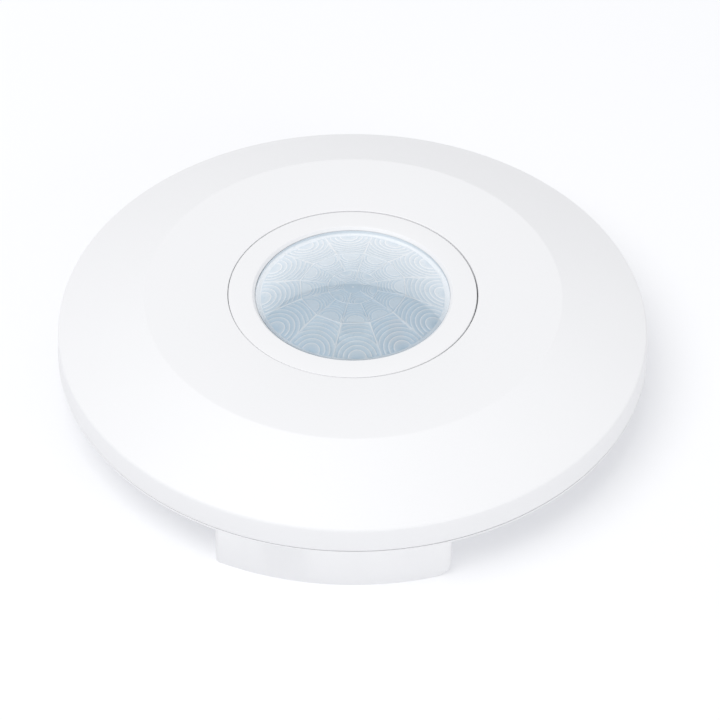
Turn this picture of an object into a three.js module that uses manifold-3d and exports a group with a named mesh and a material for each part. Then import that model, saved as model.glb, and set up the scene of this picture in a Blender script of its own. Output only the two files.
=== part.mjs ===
// A slim round ceiling motion sensor: a push-on cover disc over a mains-voltage infrared detector.
// Millimetres, +Z towards the room. Z = 0 is the ceiling that the back rests on, and the Z axis runs through
// the disc's centre.
// The cable chamber stands under the rim on the -Y side.
import * as THREE from "three";
import { mergeVertices } from "three/addons/utils/BufferGeometryUtils.js";
import Module from "manifold-3d";

const wasm = await Module();
wasm.setup();

// ---------- Driving dimensions ----------
const CLEARANCE = 0.3; // between pieces that meet
const WALL = 1.6; // moulded housing walls

const RIM_RADIUS = 60; // cover and base flange
const FLANGE_UNDERSIDE = 8.5; // above the ceiling
const FLANGE_THICKNESS = 1.5;
const FLANGE_CHAMFER = 0.4;
const FLANGE_REBATE = 0.8; // step down in the flange's top, where the cover's rim lands

const COVER_RIM_HEIGHT = 5.1; // upright wall of the cover
const COVER_RIM_DRAFT = 0.4; // how far that wall leans in at its top
const COVER_FACE_RISE = 7; // from the top of the rim wall to the flat face
const COVER_FACE_RADIUS = 42.1; // where the sloping band meets the flat face
const COVER_THICKNESS = 1.8;

const TUB_RADIUS = 44; // rear housing, outside
const TUB_FLOOR = 1.8;
const DRUM_CHAMFER = 2; // inner cover, at its top edge
const DRUM_SKIN = 1.4; // inner cover's wall
const DRUM_HEAD_GAP = 0.6; // between the inner cover and the outer cover's flat face

const BEZEL_RADIUS = 25; // ring round the lens, outside
const BEZEL_SINK = 0.1; // bezel's face below the cover's face
const BEZEL_THICKNESS = 1;
const BEZEL_WIDTH = 5.3; // from its outside to its opening
const APERTURE_CHAMFER = 0.5;

const LENS_THICKNESS = 0.8;
const LENS_RISE = 2.6; // crown above the lens's flat border
const LENS_SHOULDER_DROP = 0.25; // from the crown's flat middle to its twelve-sided edge
const LENS_FACETS = 12;
const LENS_CENTRE_RADIUS = 5.1;
const LENS_SHOULDER_RADIUS = 10.8;
const LENS_FOOT_INSET = 1.5; // from the ring's opening in to the foot of the crown
const LENS_TURN = 21.2; // degrees, first corner from +X
const LENS_BORDER_LIP = 2.8; // how far the border reaches under the bezel

const BOARD_THICKNESS = 1.6;
const BOARD_LIFT = 1.8; // board above the tub's floor
const LEAD_RADIUS = 0.4;
const LEAD_HOLE_RADIUS = 0.7;
const LEAD_REACH = 1.2; // leads show this far under the board

const CHAMBER_HALF_WIDTH = 22.6; // cable chamber under the rim
const CHAMBER_SOFT_CORNER = 3; // at its +X bottom corner
const CHAMBER_CRISP_CORNER = 0.5; // at its -X bottom corner
const KNOCKOUT = { width: 14, height: 6, depth: 0.8 };

const FIXING_SPACING = 60; // between the two ceiling screws
const FIXING_HOLE_RADIUS = 2.25;
const FIXING_SLOT_TRAVEL = 2; // each way from the middle
const WELL_BORE_RADIUS = 3.8; // lets a screw head and driver down to the floor

const HOOK = { width: 6, thickness: 1.3, barb: 0.7, barbHeight: 1, reach: 1.3, clearance: 0.5 };
const LOCATING_RIB = { thickness: 1, height: 1.4 }; // on the flange, just inside the cover's rim
const HOOK_ANGLES = [90, 210, 330];

const RIB_COUNT = 12;
const RIB = { thickness: 1.2, height: 3, inset: 4 };
const WEB_THICKNESS = 1.2; // between a screw boss and the tub's wall
const BOARD_POST_RADIUS = 2.4;

const SCREW_CIRCLE = 38; // housing screws
const SCREW_ANGLES = { front_left: 245, front_right: 295, rear_right: 48, rear_left: 132 };
const SCREW = { headRadius: 2.6, headHeight: 1.5, shankRadius: 1.1, length: 8 };
const CUP = { radius: 4, depth: 3.2, wall: 0.9, floor: 1.2 }; // recess in the inner cover for a screw head
const BOARD_SCREW = { headRadius: 2.2, headHeight: 1.3, shankRadius: 1, length: 2.6 };
const WIRE_NOTCH = { width: 18, depth: 3.9 }; // in the board's edge, for the wires out of the grommet
const BOARD_SCREW_ANGLES = { left: 212.7, right: -32.7 };
const BOARD_SCREW_INSET = 5; // from the light tunnel's outside to these screws

const RELAY = { length: 18.4, width: 10.4, height: 12, wall: 0.7 };
const ARMATURE = { width: 6.4, thickness: 0.8, reach: 5.4, lip: 0.6, lipDrop: 1.6 };
const COIL = { radius: 3.5, offset: -2 };
const LED = { radius: 1.5, collar: 1.9, height: 5.2 };
const PIR = {
  radius: 4.1,
  height: 4.3,
  flange: 4.6,
  flangeHeight: 0.7,
  window: { width: 4, depth: 3, thickness: 0.5 },
  seatGap: 0.4,
  seatDepth: 0.7,
  spacer: { radius: 5, height: 1.6 },
};
const CHIP = { width: 8.6, depth: 3.9, height: 1.4, legs: 7, pitch: 1.27, legWidth: 0.45, reach: 6 };

const ADJUSTER_CIRCLE = 34;
const ADJUSTER_ANGLES = { sensitivity: 116, time: 90, light: 64 };
const ADJUSTER = { radius: 3, shaftRadius: 1.5, slotWidth: 0.9, slotDepth: 1.2, sink: 0.4 };
const TRIMMER = { width: 9.6, depth: 10, height: 4.8, boreRadius: 1.8 };

const TERMINAL = { pitch: 5.08, depth: 8.2, height: 10, centre: 29.3 };
const TERMINAL_POLES = ["line", "neutral", "load"];
const CAGE = { width: 3.7, depth: 5, height: 5.4, wall: 0.7, top: 1, travel: 1.2 };
const CLAMP_SCREW = { headRadius: 1.8, headHeight: 1.5, shankRadius: 1.1, length: 2.6, offset: 0.9 };
const TONGUE = { width: 1.6, thickness: 0.5 };

const GROMMET = { width: 14.4, height: 3.6, flange: 0.9, lip: 0.9, membrane: 0.8, middle: 5.4 };

// ---------- Worked-out heights and radii ----------
const apertureRadius = BEZEL_RADIUS - BEZEL_WIDTH;
const lensFootRadius = apertureRadius - LENS_FOOT_INSET;
const hookRadius = (TUB_RADIUS + RIM_RADIUS) / 2;
const coverSlope = COVER_FACE_RISE / (RIM_RADIUS - COVER_RIM_DRAFT - COVER_FACE_RADIUS);
const flangeTop = FLANGE_UNDERSIDE + FLANGE_THICKNESS;
const coverFoot = flangeTop - FLANGE_REBATE + CLEARANCE;
const rimTop = coverFoot + COVER_RIM_HEIGHT;
const coverFace = rimTop + COVER_FACE_RISE;
const bezelTop = coverFace - BEZEL_SINK;
const bezelUnderside = bezelTop - BEZEL_THICKNESS;
const lensBorderTop = bezelUnderside - CLEARANCE;
const lensCrown = lensBorderTop + LENS_RISE;
const drumTop = coverFace - COVER_THICKNESS - DRUM_HEAD_GAP;
const boardTop = TUB_FLOOR + BOARD_LIFT + BOARD_THICKNESS;
const tubBore = TUB_RADIUS - WALL;
const boardRadius = tubBore - 1;
const holeInCover = BEZEL_RADIUS + CLEARANCE;
const tunnelRadius = apertureRadius + 1.9;
const lensRadius = apertureRadius + LENS_BORDER_LIP;
const bezelBore = lensRadius + CLEARANCE;
const bezelSkirt = bezelBore + 1;
const wellRadius = WELL_BORE_RADIUS + 1;
const componentFoot = boardTop + CLEARANCE;
const fixingSpots = [-FIXING_SPACING / 2, FIXING_SPACING / 2];

// The sloping band's inside, above a place on the base at this radius.
const underSlope = (radius) => coverFace - (radius - COVER_FACE_RADIUS) * coverSlope - COVER_THICKNESS;

// ---------- Materials ----------
const finish = (color, roughness, metalness = 0) =>
  new THREE.MeshStandardMaterial({ color, roughness, metalness });
const whitePlastic = finish(0xf6f6f7, 0.45);
const lensPlastic = finish(0xc4d2de, 0.3);
const blackPlastic = finish(0x1c1d20, 0.5);
const blueBoard = finish(0x27405e, 0.5);
const steel = finish(0xb9bcc0, 0.3, 1);
const brass = finish(0xc9a85a, 0.35, 1);
const copper = finish(0xb5713c, 0.4, 1);
const greyRubber = finish(0x9b9ea2, 0.85);
const bluePlastic = finish(0x2f5fa8, 0.45);
const yellowPlastic = finish(0xd9b23c, 0.45);
const orangePlastic = finish(0xd77a2b, 0.45);
const redEpoxy = finish(0xc0392f, 0.25);
const darkWindow = finish(0x3a3f4c, 0.15);

// ---------- Solids from three.js geometries ----------
const SMALL = 10;
const MEDIUM = 18;
const LARGE = 60;
const OVERLAP = 0.5; // how far joined features run into each other
const radians = THREE.MathUtils.degToRad;

// A closed geometry as a solid that can be joined and cut.
function solid(geometry) {
  const bare = geometry.index ? geometry.toNonIndexed() : geometry;
  const positions = new THREE.BufferGeometry().setAttribute("position", bare.getAttribute("position"));
  const merged = mergeVertices(positions, 1e-4);
  const index = merged.index.array;
  const kept = [];
  for (let i = 0; i < index.length; i += 3) {
    const [a, b, c] = [index[i], index[i + 1], index[i + 2]];
    if (a !== b && b !== c && c !== a) kept.push(a, b, c);
  }
  const mesh = new wasm.Mesh({
    numProp: 3,
    vertProperties: merged.getAttribute("position").array,
    triVerts: new Uint32Array(kept),
  });
  return new wasm.Manifold(mesh);
}

// A solid as a geometry for a mesh.
function geometryOf(made) {
  const { vertProperties, triVerts } = made.getMesh();
  const geometry = new THREE.BufferGeometry();
  geometry.setAttribute("position", new THREE.BufferAttribute(new Float32Array(vertProperties), 3));
  geometry.setIndex(new THREE.BufferAttribute(new Uint32Array(triVerts), 1));
  return geometry;
}

const joined = (...solids) => solids.reduce((all, next) => all.add(next));
const cut = (body, ...tools) => tools.reduce((rest, tool) => rest.subtract(tool), body);

// Corners [x, y, radius] as a closed outline, each corner with a radius turned into an arc.
function outline(corners, steps = 3) {
  const points = [];
  corners.forEach(([x, y, radius = 0], i) => {
    const corner = new THREE.Vector2(x, y);
    if (radius === 0) {
      points.push(corner);
      return;
    }
    const towards = ([px, py]) => new THREE.Vector2(px, py).sub(corner).normalize();
    const before = towards(corners.at(i - 1));
    const after = towards(corners[(i + 1) % corners.length]);
    const half = Math.acos(before.dot(after)) / 2;
    const inwards = before.clone().add(after).normalize();
    const centre = corner.clone().addScaledVector(inwards, radius / Math.sin(half));
    const reach = radius / Math.tan(half);
    const start = corner.clone().addScaledVector(before, reach).sub(centre).angle();
    const end = corner.clone().addScaledVector(after, reach).sub(centre).angle();
    const sweep = THREE.MathUtils.euclideanModulo(end - start + Math.PI, 2 * Math.PI) - Math.PI;
    for (let k = 0; k <= steps; k++) {
      const angle = start + (sweep * k) / steps;
      points.push(new THREE.Vector2(radius, 0).rotateAround(new THREE.Vector2(), angle).add(centre));
    }
  });
  return points;
}

// A closed outline of [radius, height] corners turned about the axis. A solid disc's outline touches it.
function turned(corners, segments = LARGE, start = 0) {
  const points = outline(corners);
  if (THREE.ShapeUtils.isClockWise(points)) points.reverse();
  const profile = [...points, points[0]];
  return solid(new THREE.LatheGeometry(profile, segments, start).rotateX(Math.PI / 2));
}

// A round bar or tube between two heights.
function tube(outer, inner, low, high, segments = MEDIUM) {
  return turned([[inner, low], [outer, low], [outer, high], [inner, high]], segments);
}

function rod(radius, low, high, segments = MEDIUM, x = 0, y = 0) {
  const cylinder = new THREE.CylinderGeometry(radius, radius, high - low, segments);
  return solid(cylinder.rotateX(Math.PI / 2).translate(x, y, (low + high) / 2));
}

function block([x0, x1], [y0, y1], [z0, z1]) {
  const box = new THREE.BoxGeometry(x1 - x0, y1 - y0, z1 - z0);
  return solid(box.translate((x0 + x1) / 2, (y0 + y1) / 2, (z0 + z1) / 2));
}

const span = (middle, width) => [middle - width / 2, middle + width / 2];

// A block centred on the axis of a spoke at an angle, from one radius to another.
function spoke(angle, [inner, outer], width, [low, high]) {
  const box = new THREE.BoxGeometry(outer - inner, width, high - low);
  return solid(box.translate((inner + outer) / 2, 0, (low + high) / 2).rotateZ(radians(angle)));
}

// An outline in X and Z, pushed along -Y from one Y to another.
function pushed(corners, [y0, y1]) {
  const shape = new THREE.Shape(outline(corners, 6));
  const geometry = new THREE.ExtrudeGeometry(shape, { depth: y1 - y0, bevelEnabled: false });
  return solid(geometry.rotateX(Math.PI / 2).translate(0, y1, 0));
}

// A place on the board: local +Y looks outwards from the disc's centre.
function onCircle(radius, angle) {
  const x = radius * Math.cos(radians(angle));
  const y = radius * Math.sin(radians(angle));
  return { x, y, turn: radians(angle - 90) };
}

const part = new THREE.Group();

function addPart(name, made, material, place = { x: 0, y: 0, turn: 0 }) {
  const mesh = new THREE.Mesh(geometryOf(made), material);
  mesh.name = name;
  mesh.position.set(place.x, place.y, 0);
  mesh.rotation.z = place.turn;
  part.add(mesh);
}

// ---------- Outer cover ----------
function frontCover() {
  const insideDrop = COVER_THICKNESS * Math.hypot(1, coverSlope);
  const rimInside = RIM_RADIUS - WALL;
  const shell = turned([
    [holeInCover, coverFace, 0.3],
    [COVER_FACE_RADIUS, coverFace, 0.8],
    [RIM_RADIUS - COVER_RIM_DRAFT, rimTop, 0.9],
    [RIM_RADIUS, coverFoot, 0.2],
    [rimInside, coverFoot],
    [rimInside - COVER_RIM_DRAFT, rimTop + coverSlope * WALL - insideDrop],
    [COVER_FACE_RADIUS - 0.4, coverFace - COVER_THICKNESS],
    [holeInCover + WALL, coverFace - COVER_THICKNESS],
    [holeInCover + WALL, drumTop + CLEARANCE],
    [holeInCover, drumTop + CLEARANCE],
  ]);
  const hooks = HOOK_ANGLES.map((angle) => {
    const armFoot = FLANGE_UNDERSIDE - HOOK.reach;
    const inner = hookRadius - HOOK.thickness / 2;
    const outer = hookRadius + HOOK.thickness / 2;
    const arm = spoke(angle, [inner, outer], HOOK.width, [armFoot, underSlope(outer) + 0.6]);
    const barb = spoke(angle, [inner, outer + HOOK.barb], HOOK.width, [armFoot, armFoot + HOOK.barbHeight]);
    return arm.add(barb);
  });
  return joined(shell, ...hooks);
}

// ---------- Base: rear tub, flange and cable chamber in one moulding ----------
const chamberCorners = (inset, low) => [
  [-CHAMBER_HALF_WIDTH + inset, low, inset ? 0 : CHAMBER_CRISP_CORNER],
  [CHAMBER_HALF_WIDTH - inset, low, inset ? 0 : CHAMBER_SOFT_CORNER],
  [CHAMBER_HALF_WIDTH - inset, FLANGE_UNDERSIDE + (inset ? 0 : FLANGE_CHAMFER)],
  [-CHAMBER_HALF_WIDTH + inset, FLANGE_UNDERSIDE + (inset ? 0 : FLANGE_CHAMFER)],
];

function cableChamber() {
  const box = pushed(chamberCorners(0, 0), [-RIM_RADIUS - 1, -tubBore + 1]);
  const room = pushed(chamberCorners(WALL, -1), [-RIM_RADIUS - 1, -tubBore + 2]);
  const walls = box.intersect(tube(RIM_RADIUS, tubBore, -2, coverFoot, LARGE));
  const hollow = room.intersect(rod(RIM_RADIUS - WALL, -2, coverFoot, LARGE));
  const knockoutDepth = RIM_RADIUS - WALL + KNOCKOUT.depth;
  const knockout = block(span(0, KNOCKOUT.width), [-knockoutDepth, -RIM_RADIUS / 2], [-1, KNOCKOUT.height]);
  return cut(walls, hollow, knockout.intersect(rod(knockoutDepth, -2, coverFoot, LARGE)));
}

function mountingBase() {
  const coverSeat = RIM_RADIUS - WALL - 2 * CLEARANCE;
  const flange = turned([
    [tubBore, FLANGE_UNDERSIDE],
    [RIM_RADIUS - FLANGE_CHAMFER, FLANGE_UNDERSIDE],
    [RIM_RADIUS, FLANGE_UNDERSIDE + FLANGE_CHAMFER],
    [RIM_RADIUS, flangeTop - FLANGE_REBATE],
    [coverSeat, flangeTop - FLANGE_REBATE],
    [coverSeat, flangeTop],
    [tubBore, flangeTop],
  ]);
  const tub = turned([
    [0, 0],
    [TUB_RADIUS, 0, 0.6],
    [TUB_RADIUS, flangeTop],
    [tubBore, flangeTop],
    [tubBore, TUB_FLOOR],
    [0, TUB_FLOOR],
  ]);
  const ribHeight = [flangeTop - OVERLAP, flangeTop + LOCATING_RIB.height];
  const locatingRib = tube(coverSeat, coverSeat - LOCATING_RIB.thickness, ...ribHeight, LARGE);
  const ribs = [];
  for (let i = 0; i < RIB_COUNT; i++) {
    const angle = ((i + 0.5) * 360) / RIB_COUNT;
    const x = TUB_RADIUS * Math.cos(radians(angle));
    const inChamber = Math.sin(radians(angle)) < 0 && Math.abs(x) < CHAMBER_HALF_WIDTH;
    if (inChamber) continue;
    const height = [FLANGE_UNDERSIDE - RIB.height, FLANGE_UNDERSIDE + OVERLAP];
    ribs.push(spoke(angle, [TUB_RADIUS - OVERLAP, RIM_RADIUS - RIB.inset], RIB.thickness, height));
  }
  const wellTop = drumTop - DRUM_SKIN - OVERLAP;
  const wells = fixingSpots.map((x) => rod(wellRadius, TUB_FLOOR / 2, wellTop, MEDIUM, x));
  const bosses = Object.values(SCREW_ANGLES).map((angle) => {
    const { x, y } = onCircle(SCREW_CIRCLE, angle);
    const webHeight = [TUB_FLOOR / 2, FLANGE_UNDERSIDE - CLEARANCE];
    const web = spoke(angle, [SCREW_CIRCLE + 1, tubBore + OVERLAP], WEB_THICKNESS, webHeight);
    return rod(SCREW.headRadius, TUB_FLOOR / 2, cupFloor - CLEARANCE, MEDIUM, x, y).add(web);
  });
  const posts = boardPosts.map(({ x, y }) =>
    rod(BOARD_POST_RADIUS, TUB_FLOOR / 2, TUB_FLOOR + BOARD_LIFT - 0.1, SMALL, x, y),
  );

  const windows = HOOK_ANGLES.map((angle) => {
    const inner = hookRadius - HOOK.thickness / 2 - HOOK.clearance;
    const outer = hookRadius + HOOK.thickness / 2 + HOOK.barb + HOOK.clearance;
    const height = [0, flangeTop + LOCATING_RIB.height + 1];
    return spoke(angle, [inner, outer], HOOK.width + 2 * HOOK.clearance, height);
  });
  const wellBores = fixingSpots.flatMap((x) => {
    const through = [-1, TUB_FLOOR + 1];
    const slot = [-1, 0, 1].map((step) =>
      rod(FIXING_HOLE_RADIUS, ...through, SMALL, x, step * FIXING_SLOT_TRAVEL),
    );
    const sides = block(span(x, 2 * FIXING_HOLE_RADIUS), span(0, 2 * FIXING_SLOT_TRAVEL), through);
    const bore = rod(WELL_BORE_RADIUS, TUB_FLOOR, drumTop, MEDIUM, x);
    return [bore, sides.intersect(rod(WELL_BORE_RADIUS, -1, drumTop, MEDIUM, x)), ...slot];
  });
  const pilots = Object.values(SCREW_ANGLES).map((angle) => {
    const { x, y } = onCircle(SCREW_CIRCLE, angle);
    return rod(SCREW.shankRadius + CLEARANCE, cupFloor - SCREW.length, drumTop, SMALL, x, y);
  });
  const postPilots = boardScrewSpots.map(({ x, y }) =>
    rod(BOARD_SCREW.shankRadius + CLEARANCE, TUB_FLOOR / 2, boardTop, SMALL, x, y),
  );
  const cableWindow = block(
    span(0, GROMMET.width + 2 * CLEARANCE),
    [-TUB_RADIUS - 1, -tubBore + 3],
    span(GROMMET.middle, GROMMET.height + 2 * CLEARANCE),
  );
  const body = joined(flange, tub, locatingRib, cableChamber(), ...ribs, ...wells, ...bosses, ...posts);
  return cut(body, ...windows, ...wellBores, ...pilots, ...postPilots, cableWindow);
}

// ---------- Inner cover over the live parts ----------
const cupFloor = drumTop - CUP.depth;
const screwSeat = cupFloor + CUP.floor + 0.05;
const crest = Math.min(TUB_RADIUS - DRUM_CHAMFER, COVER_FACE_RADIUS - CLEARANCE / 3);
const bay = { x: span(0, 3 * TERMINAL.pitch + 3.6), y: [-(crest - 0.6), -(bezelSkirt + 1.5)] };
const KERB = { width: 1.2, depth: 3.7 }; // skirt round the terminals, under the opening

function innerCover() {
  const foot = flangeTop + CLEARANCE;
  const brow = Math.min(drumTop - DRUM_CHAMFER, underSlope(TUB_RADIUS) - DRUM_HEAD_GAP - CLEARANCE);
  const shell = turned([
    [bezelSkirt + CLEARANCE, drumTop],
    [crest, drumTop],
    [TUB_RADIUS, brow],
    [TUB_RADIUS, foot],
    [tubBore - CLEARANCE, foot],
    [tubBore - CLEARANCE, FLANGE_UNDERSIDE],
    [tubBore - DRUM_SKIN, FLANGE_UNDERSIDE],
    [tubBore - DRUM_SKIN, foot + 0.6],
    [TUB_RADIUS - DRUM_SKIN, foot + 1.6],
    [TUB_RADIUS - DRUM_SKIN, brow - 0.6],
    [crest - 0.6, drumTop - DRUM_SKIN],
    [bezelSkirt + CLEARANCE, drumTop - DRUM_SKIN],
  ]);
  const through = [drumTop - 3, drumTop + 1];
  const cups = [];
  const pockets = [];
  for (const angle of Object.values(SCREW_ANGLES)) {
    const { x, y } = onCircle(SCREW_CIRCLE, angle);
    cups.push(rod(CUP.radius, cupFloor, drumTop - 0.5, MEDIUM, x, y));
    pockets.push(rod(CUP.radius - CUP.wall, cupFloor + CUP.floor, drumTop + 1, MEDIUM, x, y));
    pockets.push(rod(SCREW.shankRadius + CLEARANCE, cupFloor - 1, drumTop, SMALL, x, y));
  }
  const adjusterHoles = Object.values(ADJUSTER_ANGLES).map((angle) => {
    const { x, y } = onCircle(ADJUSTER_CIRCLE, angle);
    return rod(ADJUSTER.radius + CLEARANCE + 0.1, ...through, MEDIUM, x, y);
  });
  const wellHoles = fixingSpots.map((x) => rod(WELL_BORE_RADIUS + 0.4, ...through, MEDIUM, x));
  const bayOpening = block(bay.x, bay.y, through);
  const kerbTop = drumTop - DRUM_SKIN / 2;
  const kerbHeight = [kerbTop - KERB.depth, kerbTop];
  const kerb = cut(
    block([bay.x[0] - KERB.width, bay.x[1] + KERB.width], [bay.y[0] + 1, bay.y[1]], kerbHeight),
    block(bay.x, [bay.y[0] - 5, bay.y[1] + 5], [kerbTop - KERB.depth - 1, drumTop]),
  );
  const fixed = cut(joined(shell, ...cups), ...pockets, ...adjusterHoles, ...wellHoles, bayOpening);
  return fixed.add(kerb);
}

// ---------- Lens, its ring and the light tunnel under it ----------
function lensBezel() {
  const inner = apertureRadius;
  const lipFoot = drumTop + CLEARANCE;
  const skirtFoot = drumTop - 2.2;
  return turned([
    [inner, bezelTop - APERTURE_CHAMFER],
    [inner + APERTURE_CHAMFER + 0.1, bezelTop, 0.3],
    [BEZEL_RADIUS, bezelTop, 0.3],
    [BEZEL_RADIUS, lipFoot],
    [bezelSkirt, lipFoot],
    [bezelSkirt, skirtFoot],
    [bezelBore, skirtFoot],
    [bezelBore, bezelUnderside],
    [inner, bezelUnderside],
  ]);
}

// The crown has a flat middle and twelve flat facets that slope down to a round flat border.
function fresnelLens() {
  const start = radians(LENS_TURN);
  const shoulder = lensCrown - LENS_SHOULDER_DROP;
  const outside = [
    [LENS_CENTRE_RADIUS, lensCrown],
    [LENS_SHOULDER_RADIUS, shoulder],
    [lensFootRadius, lensBorderTop],
  ];
  const inside = outside.map(([radius, z]) => [radius - 0.3, z - LENS_THICKNESS]);
  const [top, ceiling] = [[0, lensCrown], [0, lensCrown - LENS_THICKNESS]];
  const borderUnderside = lensBorderTop - LENS_THICKNESS;
  const crown = turned([top, ...outside, ...[...inside].reverse(), ceiling], LENS_FACETS, start);
  const border = tube(lensRadius, lensFootRadius - 2.5, borderUnderside, lensBorderTop, LARGE);
  const floor = [[inside.at(-1)[0], borderUnderside - 1], [0, borderUnderside - 1]];
  const room = turned([ceiling, ...inside, ...floor], LENS_FACETS, start);
  return cut(crown.add(border), room);
}

function lightTunnel() {
  const top = lensBorderTop - LENS_THICKNESS - CLEARANCE;
  const outer = tunnelRadius;
  return turned([
    [outer - 1.2, componentFoot],
    [outer, componentFoot],
    [outer, top],
    [outer - 1.2, top],
  ], LARGE);
}

// ---------- Circuit board and what stands on it ----------
const boardScrewSpots = Object.values(BOARD_SCREW_ANGLES).map((angle) =>
  onCircle(tunnelRadius - BOARD_SCREW_INSET, angle),
);
const boardPosts = [
  ...boardScrewSpots,
  onCircle(boardRadius - 3, 12),
  onCircle(boardRadius - 3, 168),
  onCircle(tunnelRadius - 6.6, 90),
];

// A lead under each [x, y] of a component, down through the board.
function withLeads(body, leads, from = componentFoot) {
  const pins = leads.map(([x, y]) => rod(LEAD_RADIUS, TUB_FLOOR + BOARD_LIFT - LEAD_REACH, from + 0.5, 8, x, y));
  return joined(body, ...pins);
}

const component = ({ width, depth, height }) =>
  block(span(0, width), span(0, depth), [componentFoot, componentFoot + height]);

function roundComponent({ radius, height, crimp = 0 }) {
  const top = componentFoot + height;
  const corners = [[0, componentFoot], [radius, componentFoot, 0.3]];
  if (crimp) {
    const waist = componentFoot + 1.6;
    corners.push([radius, waist - crimp], [radius - crimp, waist], [radius, waist + crimp]);
  }
  return turned([...corners, [radius, top, 0.4], [0, top]], MEDIUM);
}

function varistor() {
  const radius = 4.2;
  const thickness = 3.2;
  const disc = new THREE.CylinderGeometry(radius, radius, thickness, MEDIUM);
  return solid(disc.translate(0, 0, componentFoot + radius + 0.8));
}

function resistor() {
  const radius = 1.7;
  const length = 8;
  const barrel = new THREE.CylinderGeometry(radius, radius, length, SMALL).rotateZ(Math.PI / 2);
  return solid(barrel.translate(0, 0, componentFoot + radius));
}

// A three-leg transistor: a round body with one flat side.
function transistor() {
  const [radius, flat] = [2.4, 1.2];
  const [low, high] = [componentFoot + 1, componentFoot + 5.6];
  const side = block(span(0, 4 * radius), [flat, 2 * radius], [low - 1, high + 1]);
  return cut(rod(radius, low, high, MEDIUM), side);
}

function statusLed() {
  const { radius, collar, height } = LED;
  const top = componentFoot + height;
  return turned([
    [0, componentFoot],
    [collar, componentFoot],
    [collar, componentFoot + 1],
    [radius, componentFoot + 1],
    [radius, top, radius - 0.1],
    [0, top],
  ], SMALL);
}

// The pyroelectric sensor's metal can, with a shallow seat in its top for the window.
function pirCan() {
  const { radius, flange, flangeHeight, window, seatGap, seatDepth } = PIR;
  const can = turned([
    [0, pirFoot],
    [flange, pirFoot],
    [flange, pirFoot + flangeHeight],
    [radius, pirFoot + flangeHeight],
    [radius, pirTop, 0.4],
    [0, pirTop],
  ], MEDIUM);
  const seat = [pirTop - seatDepth, pirTop + 1];
  return cut(can, block(span(0, window.width + 2 * seatGap), span(0, window.depth + 2 * seatGap), seat));
}

// Every wired component: where it stands, where its leads go, its body and its material.
const components = {
  mains_capacitor: {
    place: onCircle(31.5, 317),
    leads: [[-7.5, 0], [7.5, 0]],
    body: () => component({ width: 18, depth: 7.5, height: 11.5 }),
    material: yellowPlastic,
  },
  smoothing_capacitor: {
    place: onCircle(32.6, 35),
    leads: [[-1.75, 0], [1.75, 0]],
    body: () => roundComponent({ radius: 4, height: 11.4, crimp: 0.35 }),
    material: blackPlastic,
  },
  surge_varistor: {
    place: onCircle(33.4, 18),
    leads: [[-2.5, 0], [2.5, 0]],
    body: varistor,
    material: bluePlastic,
    leadTop: componentFoot + 1.6,
  },
  fuse: {
    place: onCircle(34.6, 343),
    leads: [[-2.5, 0], [2.5, 0]],
    body: () => roundComponent({ radius: 3.8, height: 7.6 }),
    material: blackPlastic,
  },
  bridge_rectifier: {
    place: onCircle(30.6, 148),
    leads: [[-3, -2.2], [3, -2.2], [-3, 2.2], [3, 2.2]],
    body: () => component({ width: 8.4, depth: 6.4, height: 3.3 }),
    material: blackPlastic,
  },
  dropper_resistor: {
    place: onCircle(37, 167),
    leads: [[-3, 0], [3, 0]],
    body: resistor,
    material: orangePlastic,
  },
  driver_transistor: {
    place: onCircle(29, 196),
    leads: [[-1.3, 0], [0, 0], [1.3, 0]],
    body: transistor,
    material: blackPlastic,
    leadTop: componentFoot + 1.2,
  },
  status_led: {
    place: { x: 8.5, y: 4, turn: 0 },
    leads: [[-1.27, 0], [1.27, 0]],
    body: statusLed,
    material: redEpoxy,
  },
  light_sensor: {
    place: { x: -8.5, y: 4, turn: 0 },
    leads: [[-1.7, 0], [1.7, 0]],
    body: () => rod(2.5, componentFoot + 2, componentFoot + 4, MEDIUM),
    material: orangePlastic,
    leadTop: componentFoot + 2.2,
  },
  pir_can: {
    place: { x: 0, y: 0, turn: 0 },
    leads: [[-2.54, 0], [2.54, 0], [0, -2.54]],
    body: pirCan,
    material: steel,
    leadTop: componentFoot + 2.2,
  },
};

const pirFoot = componentFoot + PIR.spacer.height + 0.2;
const pirTop = pirFoot + PIR.height;
const relayPlace = onCircle(31.4, 224);
const relay = { ...RELAY, leads: [[-7, -3], [-7, 3], [6, -3], [6, 3]] };
const trimmerLeads = [[-2.5, -4], [2.5, -4], [0, 4]];
const terminalPlace = onCircle(TERMINAL.centre, 270);
const poleOffsets = TERMINAL_POLES.map((_, i) => (1 - i) * TERMINAL.pitch);
const contactLead = -2.6;

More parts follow.
